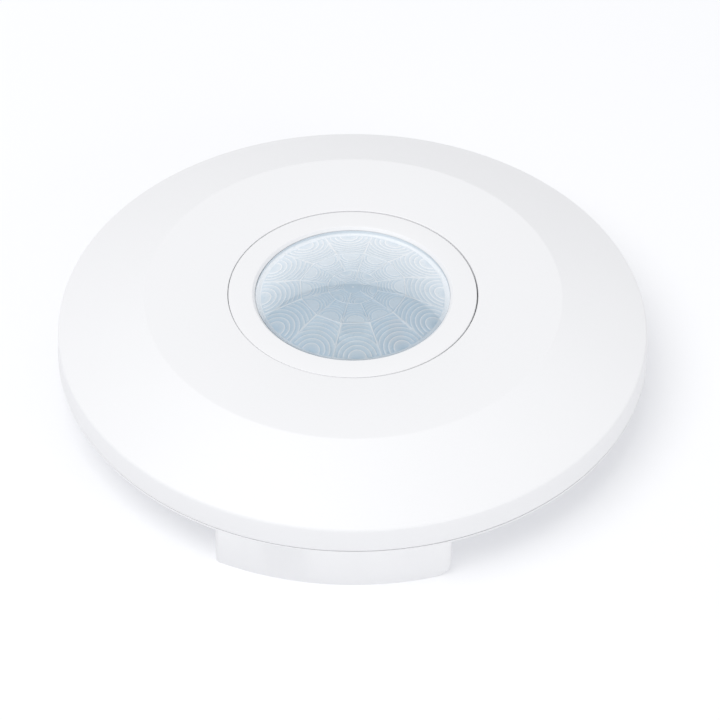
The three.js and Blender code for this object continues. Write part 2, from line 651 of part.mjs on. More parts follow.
function circuitBoard() {
  const top = boardTop;
  const low = TUB_FLOOR + BOARD_LIFT;
  const holes = [];
  const drill = (place, leads) => {
    for (const [x, y] of leads) {
      const spot = new THREE.Vector2(x, y).rotateAround(new THREE.Vector2(), place.turn);
      holes.push(rod(LEAD_HOLE_RADIUS, low - 1, top + 1, 8, spot.x + place.x, spot.y + place.y));
    }
  };
  for (const { place, leads } of Object.values(components)) drill(place, leads);
  for (const angle of Object.values(ADJUSTER_ANGLES)) drill(onCircle(ADJUSTER_CIRCLE, angle), trimmerLeads);
  drill(relayPlace, relay.leads);
  drill(terminalPlace, poleOffsets.map((x) => [x, contactLead]));
  for (const x of fixingSpots) holes.push(rod(wellRadius + 0.5, low - 1, top + 1, MEDIUM, x));
  for (const angle of Object.values(SCREW_ANGLES)) {
    const { x, y } = onCircle(SCREW_CIRCLE, angle);
    holes.push(rod(SCREW.headRadius + 0.5, low - 1, top + 1, MEDIUM, x, y));
    holes.push(spoke(angle, [SCREW_CIRCLE, boardRadius + 2], 2 * SCREW.headRadius + 1, [low - 1, top + 1]));
  }
  for (const { x, y } of boardScrewSpots) {
    holes.push(rod(BOARD_SCREW.shankRadius + CLEARANCE, low - 1, top + 1, SMALL, x, y));
  }
  const notch = [-boardRadius - 1, WIRE_NOTCH.depth - boardRadius];
  holes.push(block(span(0, WIRE_NOTCH.width), notch, [low - 1, top + 1]));
  return cut(rod(boardRadius, low, top, LARGE), ...holes);
}

function pirSpacer() {
  const holes = components.pir_can.leads.map(([x, y]) => rod(LEAD_HOLE_RADIUS, 0, pirTop, 8, x, y));
  const { radius, height } = PIR.spacer;
  return cut(rod(radius, componentFoot, componentFoot + height, MEDIUM), ...holes);
}

function pirWindow() {
  const { width, depth, thickness } = PIR.window;
  const top = pirTop - 0.1;
  return block(span(0, width), span(0, depth), [top - thickness, top]);
}

function controlChip() {
  const { width, depth, height, legs, pitch, legWidth, reach } = CHIP;
  const low = boardTop + CLEARANCE;
  const body = block(span(0, width), span(0, depth), [low, low + height]);
  const rows = [];
  for (let i = 0; i < legs; i++) {
    const x = (i - (legs - 1) / 2) * pitch;
    rows.push(block(span(x, legWidth), span(0, reach), [boardTop + 0.1, low + 0.2]));
  }
  return joined(body, ...rows);
}

// ---------- Relay, with the armature that it moves ----------
const relayFoot = componentFoot;
const armaturePivot = relay.length / 2 - 3.4;
const armatureZ = relayFoot + relay.height - 2.2;

function relayCase() {
  const { length, width, height, wall } = relay;
  const shell = block(span(0, length), span(0, width), [relayFoot, relayFoot + height]);
  const inside = [relayFoot - 1, relayFoot + height - wall];
  return cut(shell, block(span(0, length - 2 * wall), span(0, width - 2 * wall), inside));
}

function relayFrame() {
  const { length, width, wall } = relay;
  const insideLength = length - 2 * (wall + CLEARANCE);
  const insideWidth = width - 2 * (wall + CLEARANCE);
  const floor = block(span(0, insideLength), span(0, insideWidth), [relayFoot, relayFoot + 1.2]);
  const yoke = block([armaturePivot, armaturePivot + 1], span(0, 6), [relayFoot + 1, armatureZ - 0.2]);
  return withLeads(floor.add(yoke), relay.leads, relayFoot);
}

const relayCoil = () => rod(COIL.radius, relayFoot + 1.5, armatureZ - 0.8, MEDIUM, COIL.offset);

function relayArmature() {
  const { width, thickness, reach, lip, lipDrop } = ARMATURE;
  const top = armatureZ + thickness;
  const lipStart = armaturePivot + 1 + CLEARANCE;
  const plate = block([-reach, lipStart + lip / 2], span(0, width), [armatureZ, top]);
  return plate.add(block([lipStart, lipStart + lip], span(0, width), [armatureZ - lipDrop, top]));
}

// ---------- Trimmers and their adjusters ----------
function trimmerBody() {
  const top = componentFoot + TRIMMER.height;
  const body = block(span(0, TRIMMER.width), span(0, TRIMMER.depth), [componentFoot, top]);
  return withLeads(cut(body, rod(TRIMMER.boreRadius, componentFoot + 1, top + 1, MEDIUM)), trimmerLeads);
}

function adjuster() {
  const top = drumTop - ADJUSTER.sink;
  const headFoot = componentFoot + TRIMMER.height + CLEARANCE;
  const body = turned([
    [0, componentFoot + 1.3],
    [ADJUSTER.shaftRadius, componentFoot + 1.3],
    [ADJUSTER.shaftRadius, headFoot],
    [ADJUSTER.radius, headFoot],
    [ADJUSTER.radius, top, 0.3],
    [0, top],
  ], MEDIUM);
  const slotLength = 2 * ADJUSTER.radius - 1.4;
  const slot = block(span(0, ADJUSTER.slotWidth), span(0, slotLength), [top - ADJUSTER.slotDepth, top + 1]);
  const pointer = block(span(0, 0.5), [ADJUSTER.radius - 0.75, ADJUSTER.radius + 1], [top - 0.4, top + 1]);
  return cut(body, slot, pointer);
}

// ---------- Terminal block with rising clamps ----------
const terminalWidth = 3 * TERMINAL.pitch + 0.8;
const cageTop = componentFoot + TERMINAL.height - 2.9;
const cageFoot = cageTop - CAGE.height;

function terminalHousing() {
  const top = componentFoot + TERMINAL.height;
  const body = block(span(0, terminalWidth), span(0, TERMINAL.depth), [componentFoot, top]);
  const cuts = poleOffsets.flatMap((x) => {
    const cavityHeight = [cageFoot - CAGE.travel - 0.2, cageTop + 0.2];
    const cavity = block(span(x, CAGE.width + 0.5), [-1.9, TERMINAL.depth], cavityHeight);
    const driverHole = rod(CLAMP_SCREW.headRadius + 0.2, cageTop, top + 1, MEDIUM, x, CLAMP_SCREW.offset);
    const contactSlot = block(span(x, 2), [-3.4, -1.5], [componentFoot - 1, componentFoot + 6.2]);
    return [cavity, driverHole, contactSlot];
  });
  return cut(body, ...cuts);
}

// The cage is a frame that the screw lifts against the fixed contact.
function clampCage() {
  const { width, depth, height, wall, top } = CAGE;
  const frame = block(span(0, width), span(CLAMP_SCREW.offset, depth), [cageFoot, cageTop]);
  const room = block(span(0, width - 2 * wall), [-9, 9], [cageFoot + wall, cageTop - top]);
  const hole = CLAMP_SCREW.shankRadius + CLEARANCE;
  return cut(frame, room, rod(hole, cageTop - 2, cageTop + 1, SMALL, 0, CLAMP_SCREW.offset));
}

function clampScrew() {
  const { headRadius, headHeight, shankRadius, length } = CLAMP_SCREW;
  const headFoot = cageTop + 0.4;
  const top = headFoot + headHeight;
  const body = turned([
    [0, headFoot - length], [shankRadius, headFoot - length], [shankRadius, headFoot],
    [headRadius, headFoot], [headRadius, top, 0.2], [0, top],
  ], SMALL);
  const slotted = cut(body, block(span(0, 0.6), span(0, 2 * headRadius + 1), [top - 0.8, top + 1]));
  return slotted.translate([0, CLAMP_SCREW.offset, 0]);
}

// A contact tongue that the cage closes on, with its pin through the board.
function contactTongue() {
  const face = cageTop - CAGE.top - CAGE.travel - CLEARANCE;
  const tongueZ = [face - TONGUE.thickness, face];
  const tongue = block(span(0, TONGUE.width), [-3, 2.6], tongueZ);
  const riser = block(span(0, TONGUE.width), [-3, -2.2], [componentFoot - 0.1, face]);
  return withLeads(tongue.add(riser), [[0, contactLead]]);
}

// ---------- Screws and the cable grommet ----------
function crossScrew({ headRadius, headHeight, shankRadius, length }, seat) {
  const top = seat + headHeight;
  const body = turned([
    [0, seat - length], [shankRadius * 0.6, seat - length], [shankRadius, seat - length + 1],
    [shankRadius, seat], [headRadius, seat], [headRadius, top, 0.6], [0, top],
  ], SMALL);
  const arm = 0.7 * headRadius;
  const slotZ = [top - 0.7 * headHeight, top + 1];
  return cut(body, block([-arm, arm], [-0.35, 0.35], slotZ), block([-0.35, 0.35], [-arm, arm], slotZ));
}

function cableGrommet() {
  const outerFace = TUB_RADIUS + CLEARANCE;
  const innerFace = Math.sqrt(tubBore ** 2 - (GROMMET.width / 2 + GROMMET.flange) ** 2) - CLEARANCE;
  const { width, height, flange, lip, membrane } = GROMMET;
  const z = span(GROMMET.middle, height);
  const flangeZ = span(GROMMET.middle, height + 2 * flange);
  const body = block(span(0, width), [-outerFace - lip, -innerFace + lip], z);
  const outerFlange = block(span(0, width + 2 * flange), [-outerFace - lip, -outerFace], flangeZ);
  const innerFlange = block(span(0, width + 2 * flange), [-innerFace, -innerFace + lip], flangeZ);
  const pocketWidth = width - 2.4;
  const middle = -(outerFace + innerFace) / 2;
  const pocket = (y) => block(span(0, pocketWidth), y, span(GROMMET.middle, height - 1.6));
  return cut(
    joined(body, outerFlange, innerFlange),
    pocket([-outerFace - lip - 1, middle - membrane / 2]),
    pocket([middle + membrane / 2, -innerFace + lip + 1]),
  );
}

// ---------- Assembly ----------
addPart("front_cover", frontCover(), whitePlastic);
addPart("mounting_base", mountingBase(), whitePlastic);
addPart("inner_cover", innerCover(), whitePlastic);
addPart("lens_bezel", lensBezel(), whitePlastic);
addPart("fresnel_lens", fresnelLens(), lensPlastic);
addPart("light_tunnel", lightTunnel(), whitePlastic);
addPart("cable_grommet", cableGrommet(), greyRubber);
addPart("circuit_board", circuitBoard(), blueBoard);

for (const [name, { place, leads, body, material, leadTop }] of Object.entries(components)) {
  addPart(name, withLeads(body(), leads, leadTop), material, place);
}
addPart("pir_spacer", pirSpacer(), blackPlastic);
addPart("pir_window", pirWindow(), darkWindow);
addPart("control_chip", controlChip(), blackPlastic, onCircle(36.6, 199));

addPart("relay_case", relayCase(), bluePlastic, relayPlace);
addPart("relay_frame", relayFrame(), steel, relayPlace);
addPart("relay_coil", relayCoil(), copper, relayPlace);
addPart("relay_armature", relayArmature(), steel, relayPlace);

for (const [name, angle] of Object.entries(ADJUSTER_ANGLES)) {
  const place = onCircle(ADJUSTER_CIRCLE, angle);
  addPart(`${name}_trimmer`, trimmerBody(), bluePlastic, place);
  addPart(`${name}_adjuster`, adjuster(), orangePlastic, place);
}

addPart("terminal_housing", terminalHousing(), bluePlastic, terminalPlace);
TERMINAL_POLES.forEach((pole, i) => {
  const place = { x: terminalPlace.x - poleOffsets[i], y: terminalPlace.y, turn: terminalPlace.turn };
  addPart(`${pole}_clamp_screw`, clampScrew(), steel, place);
  addPart(`${pole}_clamp_cage`, clampCage(), brass, place);
  addPart(`${pole}_contact`, contactTongue(), brass, place);
});

for (const [name, angle] of Object.entries(SCREW_ANGLES)) {
  addPart(`housing_screw_${name}`, crossScrew(SCREW, screwSeat), steel, onCircle(SCREW_CIRCLE, angle));
}
Object.keys(BOARD_SCREW_ANGLES).forEach((side, i) => {
  const { x, y } = boardScrewSpots[i];
  addPart(`board_screw_${side}`, crossScrew(BOARD_SCREW, boardTop + 0.05), steel, { x, y, turn: 0 });
});

export default part;
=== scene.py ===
import math

import bmesh
import bpy
from mathutils import Matrix, Vector
from mathutils.geometry import delaunay_2d_cdt


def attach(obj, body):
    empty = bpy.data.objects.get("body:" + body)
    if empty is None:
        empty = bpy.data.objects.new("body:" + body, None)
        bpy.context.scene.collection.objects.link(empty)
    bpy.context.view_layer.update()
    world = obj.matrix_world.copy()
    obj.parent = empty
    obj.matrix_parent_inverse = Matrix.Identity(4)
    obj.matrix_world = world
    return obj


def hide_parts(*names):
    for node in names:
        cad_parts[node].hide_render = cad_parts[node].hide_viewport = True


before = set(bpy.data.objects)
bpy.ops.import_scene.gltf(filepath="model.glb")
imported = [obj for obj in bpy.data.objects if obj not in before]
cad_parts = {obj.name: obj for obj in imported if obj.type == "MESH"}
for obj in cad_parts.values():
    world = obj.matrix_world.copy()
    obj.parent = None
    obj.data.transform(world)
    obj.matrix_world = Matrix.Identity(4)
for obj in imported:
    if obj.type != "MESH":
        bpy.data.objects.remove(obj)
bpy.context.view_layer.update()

scene = bpy.context.scene
MM = 0.001

# ---------- Camera ----------
# It looks down at the disc from the cable chamber's side, a little towards +X,
# through a long lens, with the small aim errors of a hand-set studio camera.
ELEVATION = math.radians(43.33)
AZIMUTH = math.radians(3.6)
DISTANCE = 583.5 * MM
AIM_PAN = -0.002640
AIM_TILT = 0.003348
ROLL = -0.006284
FIELD_OF_VIEW = 2 * math.atan(360 / 2825.3)

sideways = Vector((math.cos(AZIMUTH), math.sin(AZIMUTH), 0))
ahead = Vector((
    -math.sin(AZIMUTH) * math.cos(ELEVATION),
    math.cos(AZIMUTH) * math.cos(ELEVATION),
    -math.sin(ELEVATION),
))
overhead = sideways.cross(ahead)
look = Matrix((sideways, overhead, -ahead)).transposed()
for angle, axis in ((AIM_PAN, 1), (AIM_TILT, 0), (ROLL, 2)):
    hinge = look.col[axis].copy()
    look = Matrix.Rotation(-angle if axis == 2 else angle, 3, hinge) @ look

lens_data = bpy.data.cameras.new("studio_camera")
lens_data.angle = FIELD_OF_VIEW
lens_data.clip_start = 0.01
camera = bpy.data.objects.new("studio_camera", lens_data)
camera.matrix_world = Matrix.Translation(-ahead * DISTANCE) @ look.to_4x4()
scene.collection.objects.link(camera)
scene.camera = camera


# ---------- Floor and light ----------
# Pale paper in an evenly white room, with one large soft box high at the front left and
# a weak low one at the front right. The paper glows a little, so its shadows stay pale.
class Wire:
    """One socket in a node tree. Arithmetic on it adds Math nodes."""

    def __init__(self, graph, socket):
        self.graph = graph
        self.socket = socket

    def _math(self, operation, first, second):
        return self.graph.add("ShaderNodeMath", {"operation": operation}, {0: first, 1: second})

    def __add__(self, other):
        return self._math("ADD", self, other)

    def __sub__(self, other):
        return self._math("SUBTRACT", self, other)

    def __rsub__(self, other):
        return self._math("SUBTRACT", other, self)

    def __mul__(self, other):
        return self._math("MULTIPLY", self, other)

    def __truediv__(self, other):
        return self._math("DIVIDE", self, other)

    __radd__ = __add__
    __rmul__ = __mul__


class Graph:
    """A node tree that is written as calls."""

    def __init__(self, tree):
        self.tree = tree

    def add(self, kind, settings=None, inputs=None, output=0):
        node = self.tree.nodes.new(kind)
        for name, value in (settings or {}).items():
            if name == "stops":
                set_stops(node.color_ramp, value)
            else:
                setattr(node, name, value)
        for key, value in (inputs or {}).items():
            for one in value if isinstance(value, list) else [value]:
                self.feed(node.inputs[key], one)
        return Wire(self, node.outputs[output])

    def feed(self, socket, value):
        if isinstance(value, Wire):
            self.tree.links.new(value.socket, socket)
        else:
            socket.default_value = value


def set_stops(ramp, stops):
    while len(ramp.elements) < len(stops):
        ramp.elements.new(0.5)
    for element, (place, value) in zip(ramp.elements, stops):
        element.position = place
        element.color = (value, value, value, 1)


class Finish(Graph):
    """A Principled material; fixed values go straight onto the shader's own sockets."""

    def __init__(self, name, fixed=None):
        self.material = bpy.data.materials.new(name)
        self.material.use_nodes = True
        super().__init__(self.material.node_tree)
        self.shader = self.tree.nodes["Principled BSDF"]
        for socket, value in (fixed or {}).items():
            self.shader.inputs[socket].default_value = value
        self.place = self.add("ShaderNodeTexCoord", output="Object")

    def noise(self, size, detail=2.0, roughness=0.5):
        """Random mottling with features of about this size in metres."""
        settings = {"Vector": self.place, "Scale": 1 / size, "Detail": detail, "Roughness": roughness}
        return self.add("ShaderNodeTexNoise", None, settings)

    def ramp(self, factor, *stops):
        return self.add("ShaderNodeValToRGB", {"stops": stops}, {"Fac": factor})

    def blend(self, factor, first, second):
        """A colour between two colours."""
        inputs = {"Factor": factor, "A": as_colour(first), "B": as_colour(second)}
        mix = self.tree.nodes.new("ShaderNodeMix")
        mix.data_type = "RGBA"
        sockets = {"Factor": mix.inputs[0], "A": mix.inputs[6], "B": mix.inputs[7]}
        for key, socket in sockets.items():
            self.feed(socket, inputs[key])
        return Wire(self, mix.outputs[2])

    def colour(self, wire):
        self.feed(self.shader.inputs["Base Color"], wire)

    def roughness(self, wire):
        self.feed(self.shader.inputs["Roughness"], wire)

    def relief(self, height, depth, strength=1.0):
        """A bump whose full height range is depth in metres."""
        inputs = {"Height": height, "Distance": depth, "Strength": strength}
        self.feed(self.shader.inputs["Normal"], self.add("ShaderNodeBump", None, inputs))


def as_colour(value):
    return value if isinstance(value, Wire) else (*value, 1)


def lit_from(name, place, aim, size, power, tint):
    data = bpy.data.lights.new(name, "AREA")
    data.shape = "DISK"
    data.size = size
    data.energy = power
    data.color = tint
    lamp = bpy.data.objects.new(name, data)
    lamp.location = place
    lamp.rotation_euler = (Vector(aim) - Vector(place)).to_track_quat("-Z", "Y").to_euler()
    scene.collection.objects.link(lamp)


FLOOR_HALF = 3.0
FLOOR_GLOW = (0.325, 0.33, 0.345)
FLOOR_SIDES = ((-1, -1), (1, -1), (1, 1), (-1, 1))
floor_mesh = bpy.data.meshes.new("floor")
floor_mesh.from_pydata([(x * FLOOR_HALF, y * FLOOR_HALF, 0) for x, y in FLOOR_SIDES], [], [(0, 1, 2, 3)])
floor = bpy.data.objects.new("floor", floor_mesh)
scene.collection.objects.link(floor)
paper = Finish("floor_paper", {
    "Roughness": 0.9, "Specular IOR Level": 0.1,
    "Emission Strength": 1.0, "Emission Color": (*FLOOR_GLOW, 1),
})
paper.colour(paper.blend(paper.noise(0.4), (0.605, 0.605, 0.61), (0.615, 0.615, 0.62)))
floor_mesh.materials.append(paper.material)

ROOM_WHITE = (0.985, 0.99, 1.0, 1)
ROOM_STRENGTH = 0.68
world = bpy.data.worlds.new("white_room")
world.use_nodes = True
world.node_tree.nodes["Background"].inputs["Color"].default_value = ROOM_WHITE
world.node_tree.nodes["Background"].inputs["Strength"].default_value = ROOM_STRENGTH
scene.world = world
scene.view_settings.view_transform = "Standard"

lit_from("key_soft_box", (-0.38, -0.30, 1.08), (0, 0, 0), 1.1, 7.4, (1.0, 0.998, 0.992))
lit_from("low_fill_box", (0.85, -0.72, 0.28), (0, 0, 0), 0.6, 1.9, (1.0, 1.0, 1.0))


# ---------- Base moulding: rear tub, flange and cable chamber ----------
# One injection moulding in white ABS. The flange's edge is stepped down for the cover's
# rim, so it shows as a thin lip, and the cable chamber runs flush from it to the ceiling.
# Wells in the tub take the two ceiling screws, and bosses take the housing screws.
RIM = 60.0
FLANGE_LOW = 8.5
FLANGE_TOP = 10.0
FLANGE_CHAMFER = 0.4
REBATE_TOP = 9.2
LOCATING_RIB = {"thickness": 1.0, "height": 1.4}
WALL = 1.6
TUB = 44.0
TUB_BORE = TUB - WALL
TUB_FLOOR = 1.8
FIXING_X = 30.0
WELL_BORE = 3.8
WELL_TOP = 17.6
FIXING_SLOT = {"width": 4.5, "length": 7.4, "corner": 2.2}
SCREW_CIRCLE = 38.0
BOSS = {"radius": 2.6, "top": 15.7, "pilot": 1.4, "pilot foot": 8.0}
WEB = {"thickness": 1.2, "top": 8.2}
KNOCKOUT = {"half width": 7.0, "top": 6.0, "depth": 0.8}
CABLE_WINDOW = {"width": 15.0, "height": 4.2, "middle": 5.4}
HOOK_WINDOW = {"radii": (50.85, 53.85), "width": 7.0, "corner": 0.3}
HOUSING_SCREW_ANGLES = (245, 295, 48, 132)
HOOK_ANGLES = (90, 210, 330)
FINE_STEPS = 240
STEPS = 48


def rounded(corners, steps=6):
    """Corners (x, y) or (x, y, radius) as a closed outline, with an arc at each corner that has a radius."""
    points = []
    for i, (x, y, *rest) in enumerate(corners):
        corner = Vector((x, y))
        if not rest:
            points.append(corner)
            continue
        radius = rest[0]
        before = (Vector(corners[i - 1][:2]) - corner).normalized()
        after = (Vector(corners[(i + 1) % len(corners)][:2]) - corner).normalized()
        half = before.angle(after) / 2
        centre = corner + (before + after).normalized() * (radius / math.sin(half))
        reach = radius / math.tan(half)
        start, end = corner + before * reach - centre, corner + after * reach - centre
        first = math.atan2(start.y, start.x)
        sweep = (math.atan2(end.y, end.x) - first + math.pi) % (2 * math.pi) - math.pi
        for k in range(steps + 1):
            angle = first + sweep * k / steps
            points.append(centre + radius * Vector((math.cos(angle), math.sin(angle))))
    return points


def smoothed(mesh, crisp=30):
    """Smooth shading that keeps every edge sharper than the angle crisp."""
    mesh.shade_smooth()
    mesh.set_sharp_from_angle(angle=math.radians(crisp))


def piece(name, shape):
    """A new object from a shape whose faces are turned outwards."""
    bmesh.ops.remove_doubles(shape, verts=shape.verts, dist=0.0005 * MM)
    bmesh.ops.recalc_face_normals(shape, faces=shape.faces)
    mesh = bpy.data.meshes.new(name)
    shape.to_mesh(mesh)
    shape.free()
    smoothed(mesh)
    made = bpy.data.objects.new(name, mesh)
    scene.collection.objects.link(made)
    return made


def turned(name, corners, steps=FINE_STEPS, centre=(0, 0)):
    """A body turned about an upright axis from a closed outline of (radius, height)."""
    outline = rounded(corners)
    shape = bmesh.new()
    rings = []
    for i in range(steps):
        c, s = math.cos(2 * math.pi * i / steps), math.sin(2 * math.pi * i / steps)
        ring = [((centre[0] + r * c) * MM, (centre[1] + r * s) * MM, z * MM) for r, z in outline]
        rings.append([shape.verts.new(place) for place in ring])
    for i, ring in enumerate(rings):
        after = rings[(i + 1) % steps]
        for j in range(len(outline)):
            k = (j + 1) % len(outline)
            shape.faces.new((ring[j], after[j], after[k], ring[k]))
    return piece(name, shape)


def drum(name, radius, low, high, centre=(0, 0), steps=STEPS):
    return turned(name, [(0, low), (radius, low), (radius, high), (0, high)], steps, centre)


def tube(name, outer, inner, low, high, steps=FINE_STEPS):
    return turned(name, [(inner, low), (outer, low), (outer, high), (inner, high)], steps)


def prism(name, outline, low, high, along="Z"):
    """An outline pushed along an axis: (x, y) along Z, or (x, z) along Y."""
    shape = bmesh.new()
    ends = []
    for depth in (low, high):
        places = [(a, b, depth) if along == "Z" else (a, depth, b) for a, b in outline]
        ends.append([shape.verts.new(Vector(place) * MM) for place in places])
    shape.faces.new(ends[0])
    shape.faces.new(ends[1])
    for j in range(len(outline)):
        k = (j + 1) % len(outline)
        shape.faces.new((ends[0][j], ends[0][k], ends[1][k], ends[1][j]))
    return piece(name, shape)


def block(name, x, y, z, turn=0, soft=0.0):
    """A bar from x[0] to x[1] and so on, turned about the Z axis, with soft upright edges."""
    corners = [(x[0], y[0]), (x[1], y[0]), (x[1], y[1]), (x[0], y[1])]
    if soft:
        corners = [(*corner, soft) for corner in corners]
    outline = [Matrix.Rotation(math.radians(turn), 2) @ point for point in rounded(corners, 4)]
    return prism(name, outline, *z)


def about(middle, width):
    return middle - width / 2, middle + width / 2


def spoke(name, angle, radii, width, z, soft=0.0):
    return block(name, radii, about(0, width), z, angle, soft)


def on_circle(radius, angle):
    return radius * math.cos(math.radians(angle)), radius * math.sin(math.radians(angle))


def settled(made):
    """Works a piece's modifiers into its mesh."""
    graph = bpy.context.evaluated_depsgraph_get()
    mesh = bpy.data.meshes.new_from_object(made.evaluated_get(graph))
    made.modifiers.clear()
    made.data = mesh
    smoothed(mesh)
    return made


def shaped(made, operation, tools):
    """Joins the tools to a piece, or cuts them from it, and drops the tools."""
    group = bpy.data.collections.new(operation)
    for tool in tools:
        group.objects.link(tool)
    modifier = made.modifiers.new(operation, "BOOLEAN")
    modifier.operation = operation
    modifier.operand_type = "COLLECTION"
    modifier.collection = group
    modifier.solver = "EXACT"
    settled(made)
    for tool in tools:
        bpy.data.objects.remove(tool)
    bpy.data.collections.remove(group)
    return made


def softened(made, width, angle=40, segments=2):
    """Takes the sharpness off a moulding's edges, as a tool maker does."""
    bevel = made.modifiers.new("soft_edges", "BEVEL")
    bevel.width = width * MM
    bevel.segments = segments
    bevel.limit_method = "ANGLE"
    bevel.angle_limit = math.radians(angle)
    return settled(made)


def fitted(made, body, slot, *nodes):
    """Gives a piece its body and hides the CAD nodes that it stands for. The finish slot argument is not
    used.
    """
    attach(made, body)
    if nodes:
        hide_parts(*nodes)
    return made


def white_moulding():
    """Satin white ABS from a finely spark-eroded tool, faintly cool, with slow flow mottling."""
    finish = Finish("white_moulding", {"IOR": 1.5, "Specular IOR Level": 0.4})
    cloud = finish.noise(0.03, 3.0)
    finish.colour(finish.blend(cloud, (0.814, 0.816, 0.832), (0.830, 0.832, 0.846)))
    grain = finish.noise(0.00035, 3.0, 0.6)
    finish.roughness(finish.ramp(grain, (0.3, 0.36), (0.7, 0.48)))
    finish.relief(grain * 0.8 + finish.noise(0.004) * 0.2, 0.00004, 0.5)
    return finish.material


white = white_moulding()

CHAMBER_HALF = 22.6
CHAMBER_EDGE = 1.0
CHAMBER_SOFT_CORNER = 3.0
CHAMBER_CRISP_CORNER = 0.5


def rim_arc(radius, half_width):
    """Points along the rim on the -Y side, from -X to +X, in step with the flange's own facets."""
    facet = 2 * math.pi / FINE_STEPS
    limit = math.asin(half_width / radius)
    count = int(limit / facet)
    angles = [-limit, *(facet * k for k in range(-count, count + 1)), limit]
    return [(radius * math.sin(angle), -radius * math.cos(angle)) for angle in angles]


def chamber_wall():
    """The chamber's outside: flush with the rim, with its upright edges rounded over."""
    edge_angle = math.asin(CHAMBER_HALF / RIM)
    edge = (RIM * math.sin(edge_angle), -RIM * math.cos(edge_angle))
    front = rim_arc(RIM, CHAMBER_HALF - CHAMBER_EDGE)[1:-1]
    right = (*edge, CHAMBER_EDGE)
    left = (-edge[0], edge[1], CHAMBER_EDGE)
    plan = rounded([left, *front, right, (CHAMBER_HALF, -37), (-CHAMBER_HALF, -37)], 8)
    wall = prism("chamber_wall", plan, -0.001, FLANGE_LOW + FLANGE_CHAMFER)
    side = CHAMBER_HALF + 0.01
    foot = [(-side, 20), (-side, 0, CHAMBER_CRISP_CORNER), (side, 0, CHAMBER_SOFT_CORNER), (side, 20)]
    keep = prism("chamber_foot", rounded(foot, 10), -RIM - 1, -30, "Y")
    return shaped(wall, "INTERSECT", [keep])


def base_moulding():
    rib_seat = RIM - WALL - 0.6
    base = turned("base_moulding", [
        (0, 0), (TUB, 0, 0.6), (TUB, FLANGE_LOW), (RIM - FLANGE_CHAMFER, FLANGE_LOW),
        (RIM, FLANGE_LOW + FLANGE_CHAMFER), (RIM, REBATE_TOP, 0.08), (rib_seat, REBATE_TOP),
        (rib_seat, FLANGE_TOP), (TUB_BORE, FLANGE_TOP), (TUB_BORE, TUB_FLOOR, 0.5), (0, TUB_FLOOR),
    ])
    additions = [
        tube("locating_rib", rib_seat, rib_seat - LOCATING_RIB["thickness"],
             FLANGE_TOP - 0.2, FLANGE_TOP + LOCATING_RIB["height"]),
        chamber_wall(),
    ]
    for side in (-1, 1):
        well = (side * FIXING_X, 0)
        additions.append(drum("well", WELL_BORE + 1, TUB_FLOOR / 2, WELL_TOP, well))
    web_radii = (SCREW_CIRCLE + 1, TUB_BORE + 0.5)
    for angle in HOUSING_SCREW_ANGLES:
        spot = on_circle(SCREW_CIRCLE, angle)
        additions.append(drum("boss", BOSS["radius"], TUB_FLOOR / 2, BOSS["top"], spot))
        additions.append(spoke("web", angle, web_radii, WEB["thickness"], (TUB_FLOOR / 2, WEB["top"])))
    shaped(base, "UNION", additions)

    room_arc = rim_arc(RIM - WALL, CHAMBER_HALF - WALL)
    half_room = CHAMBER_HALF - WALL
    room = prism("chamber_room", [*room_arc, (half_room, -TUB + 8), (-half_room, -TUB + 8)], -1, FLANGE_LOW)
    shaped(room, "DIFFERENCE", [drum("tub_outside", TUB, -2, 20, steps=FINE_STEPS)])
    knock_half = KNOCKOUT["half width"]
    knock_arc = rim_arc(RIM - WALL + KNOCKOUT["depth"], knock_half)
    knock_plan = [*knock_arc, (knock_half, -RIM + 5), (-knock_half, -RIM + 5)]
    window_z = about(CABLE_WINDOW["middle"], CABLE_WINDOW["height"])
    cuts = [
        room,
        prism("knockout", knock_plan, -1, KNOCKOUT["top"]),
        block("cable_window", about(0, CABLE_WINDOW["width"]), (-TUB - 1, -TUB_BORE + 3), window_z),
    ]
    slot_y = about(0, FIXING_SLOT["length"])
    for side in (-1, 1):
        x = side * FIXING_X
        cuts.append(drum("well_bore", WELL_BORE, TUB_FLOOR, 30, (x, 0)))
        slot_x = about(x, FIXING_SLOT["width"])
        cuts.append(block("fixing_slot", slot_x, slot_y, (-1, TUB_FLOOR + 1), 0, FIXING_SLOT["corner"]))
    for angle in HOUSING_SCREW_ANGLES:
        cuts.append(drum("pilot", BOSS["pilot"], BOSS["pilot foot"], 30, on_circle(SCREW_CIRCLE, angle), 16))
    for angle in HOOK_ANGLES:
        window = (HOOK_WINDOW["radii"], HOOK_WINDOW["width"], (4, 12), HOOK_WINDOW["corner"])
        cuts.append(spoke("hook_window", angle, *window))
    return shaped(base, "DIFFERENCE", cuts)


base = softened(base_moulding(), 0.12)
base.data.materials.clear()
base.data.materials.append(white)
fitted(base, "base", "white_plastic", "mounting_base")


# ---------- Ribs under the flange ----------
# Radial stiffening ribs of the same moulding, between the tub's wall and the flange's
# edge. The cable chamber takes the place of the two on its side.
RIB_COUNT = 12
RIB_REACH = (43.6, 56.0)
RIB_THICKNESS = 1.2
RIB_HEIGHT = (5.5, 8.9)
CHAMBER_ZONE = -45.0  # a rib past this line would stand inside the cable chamber


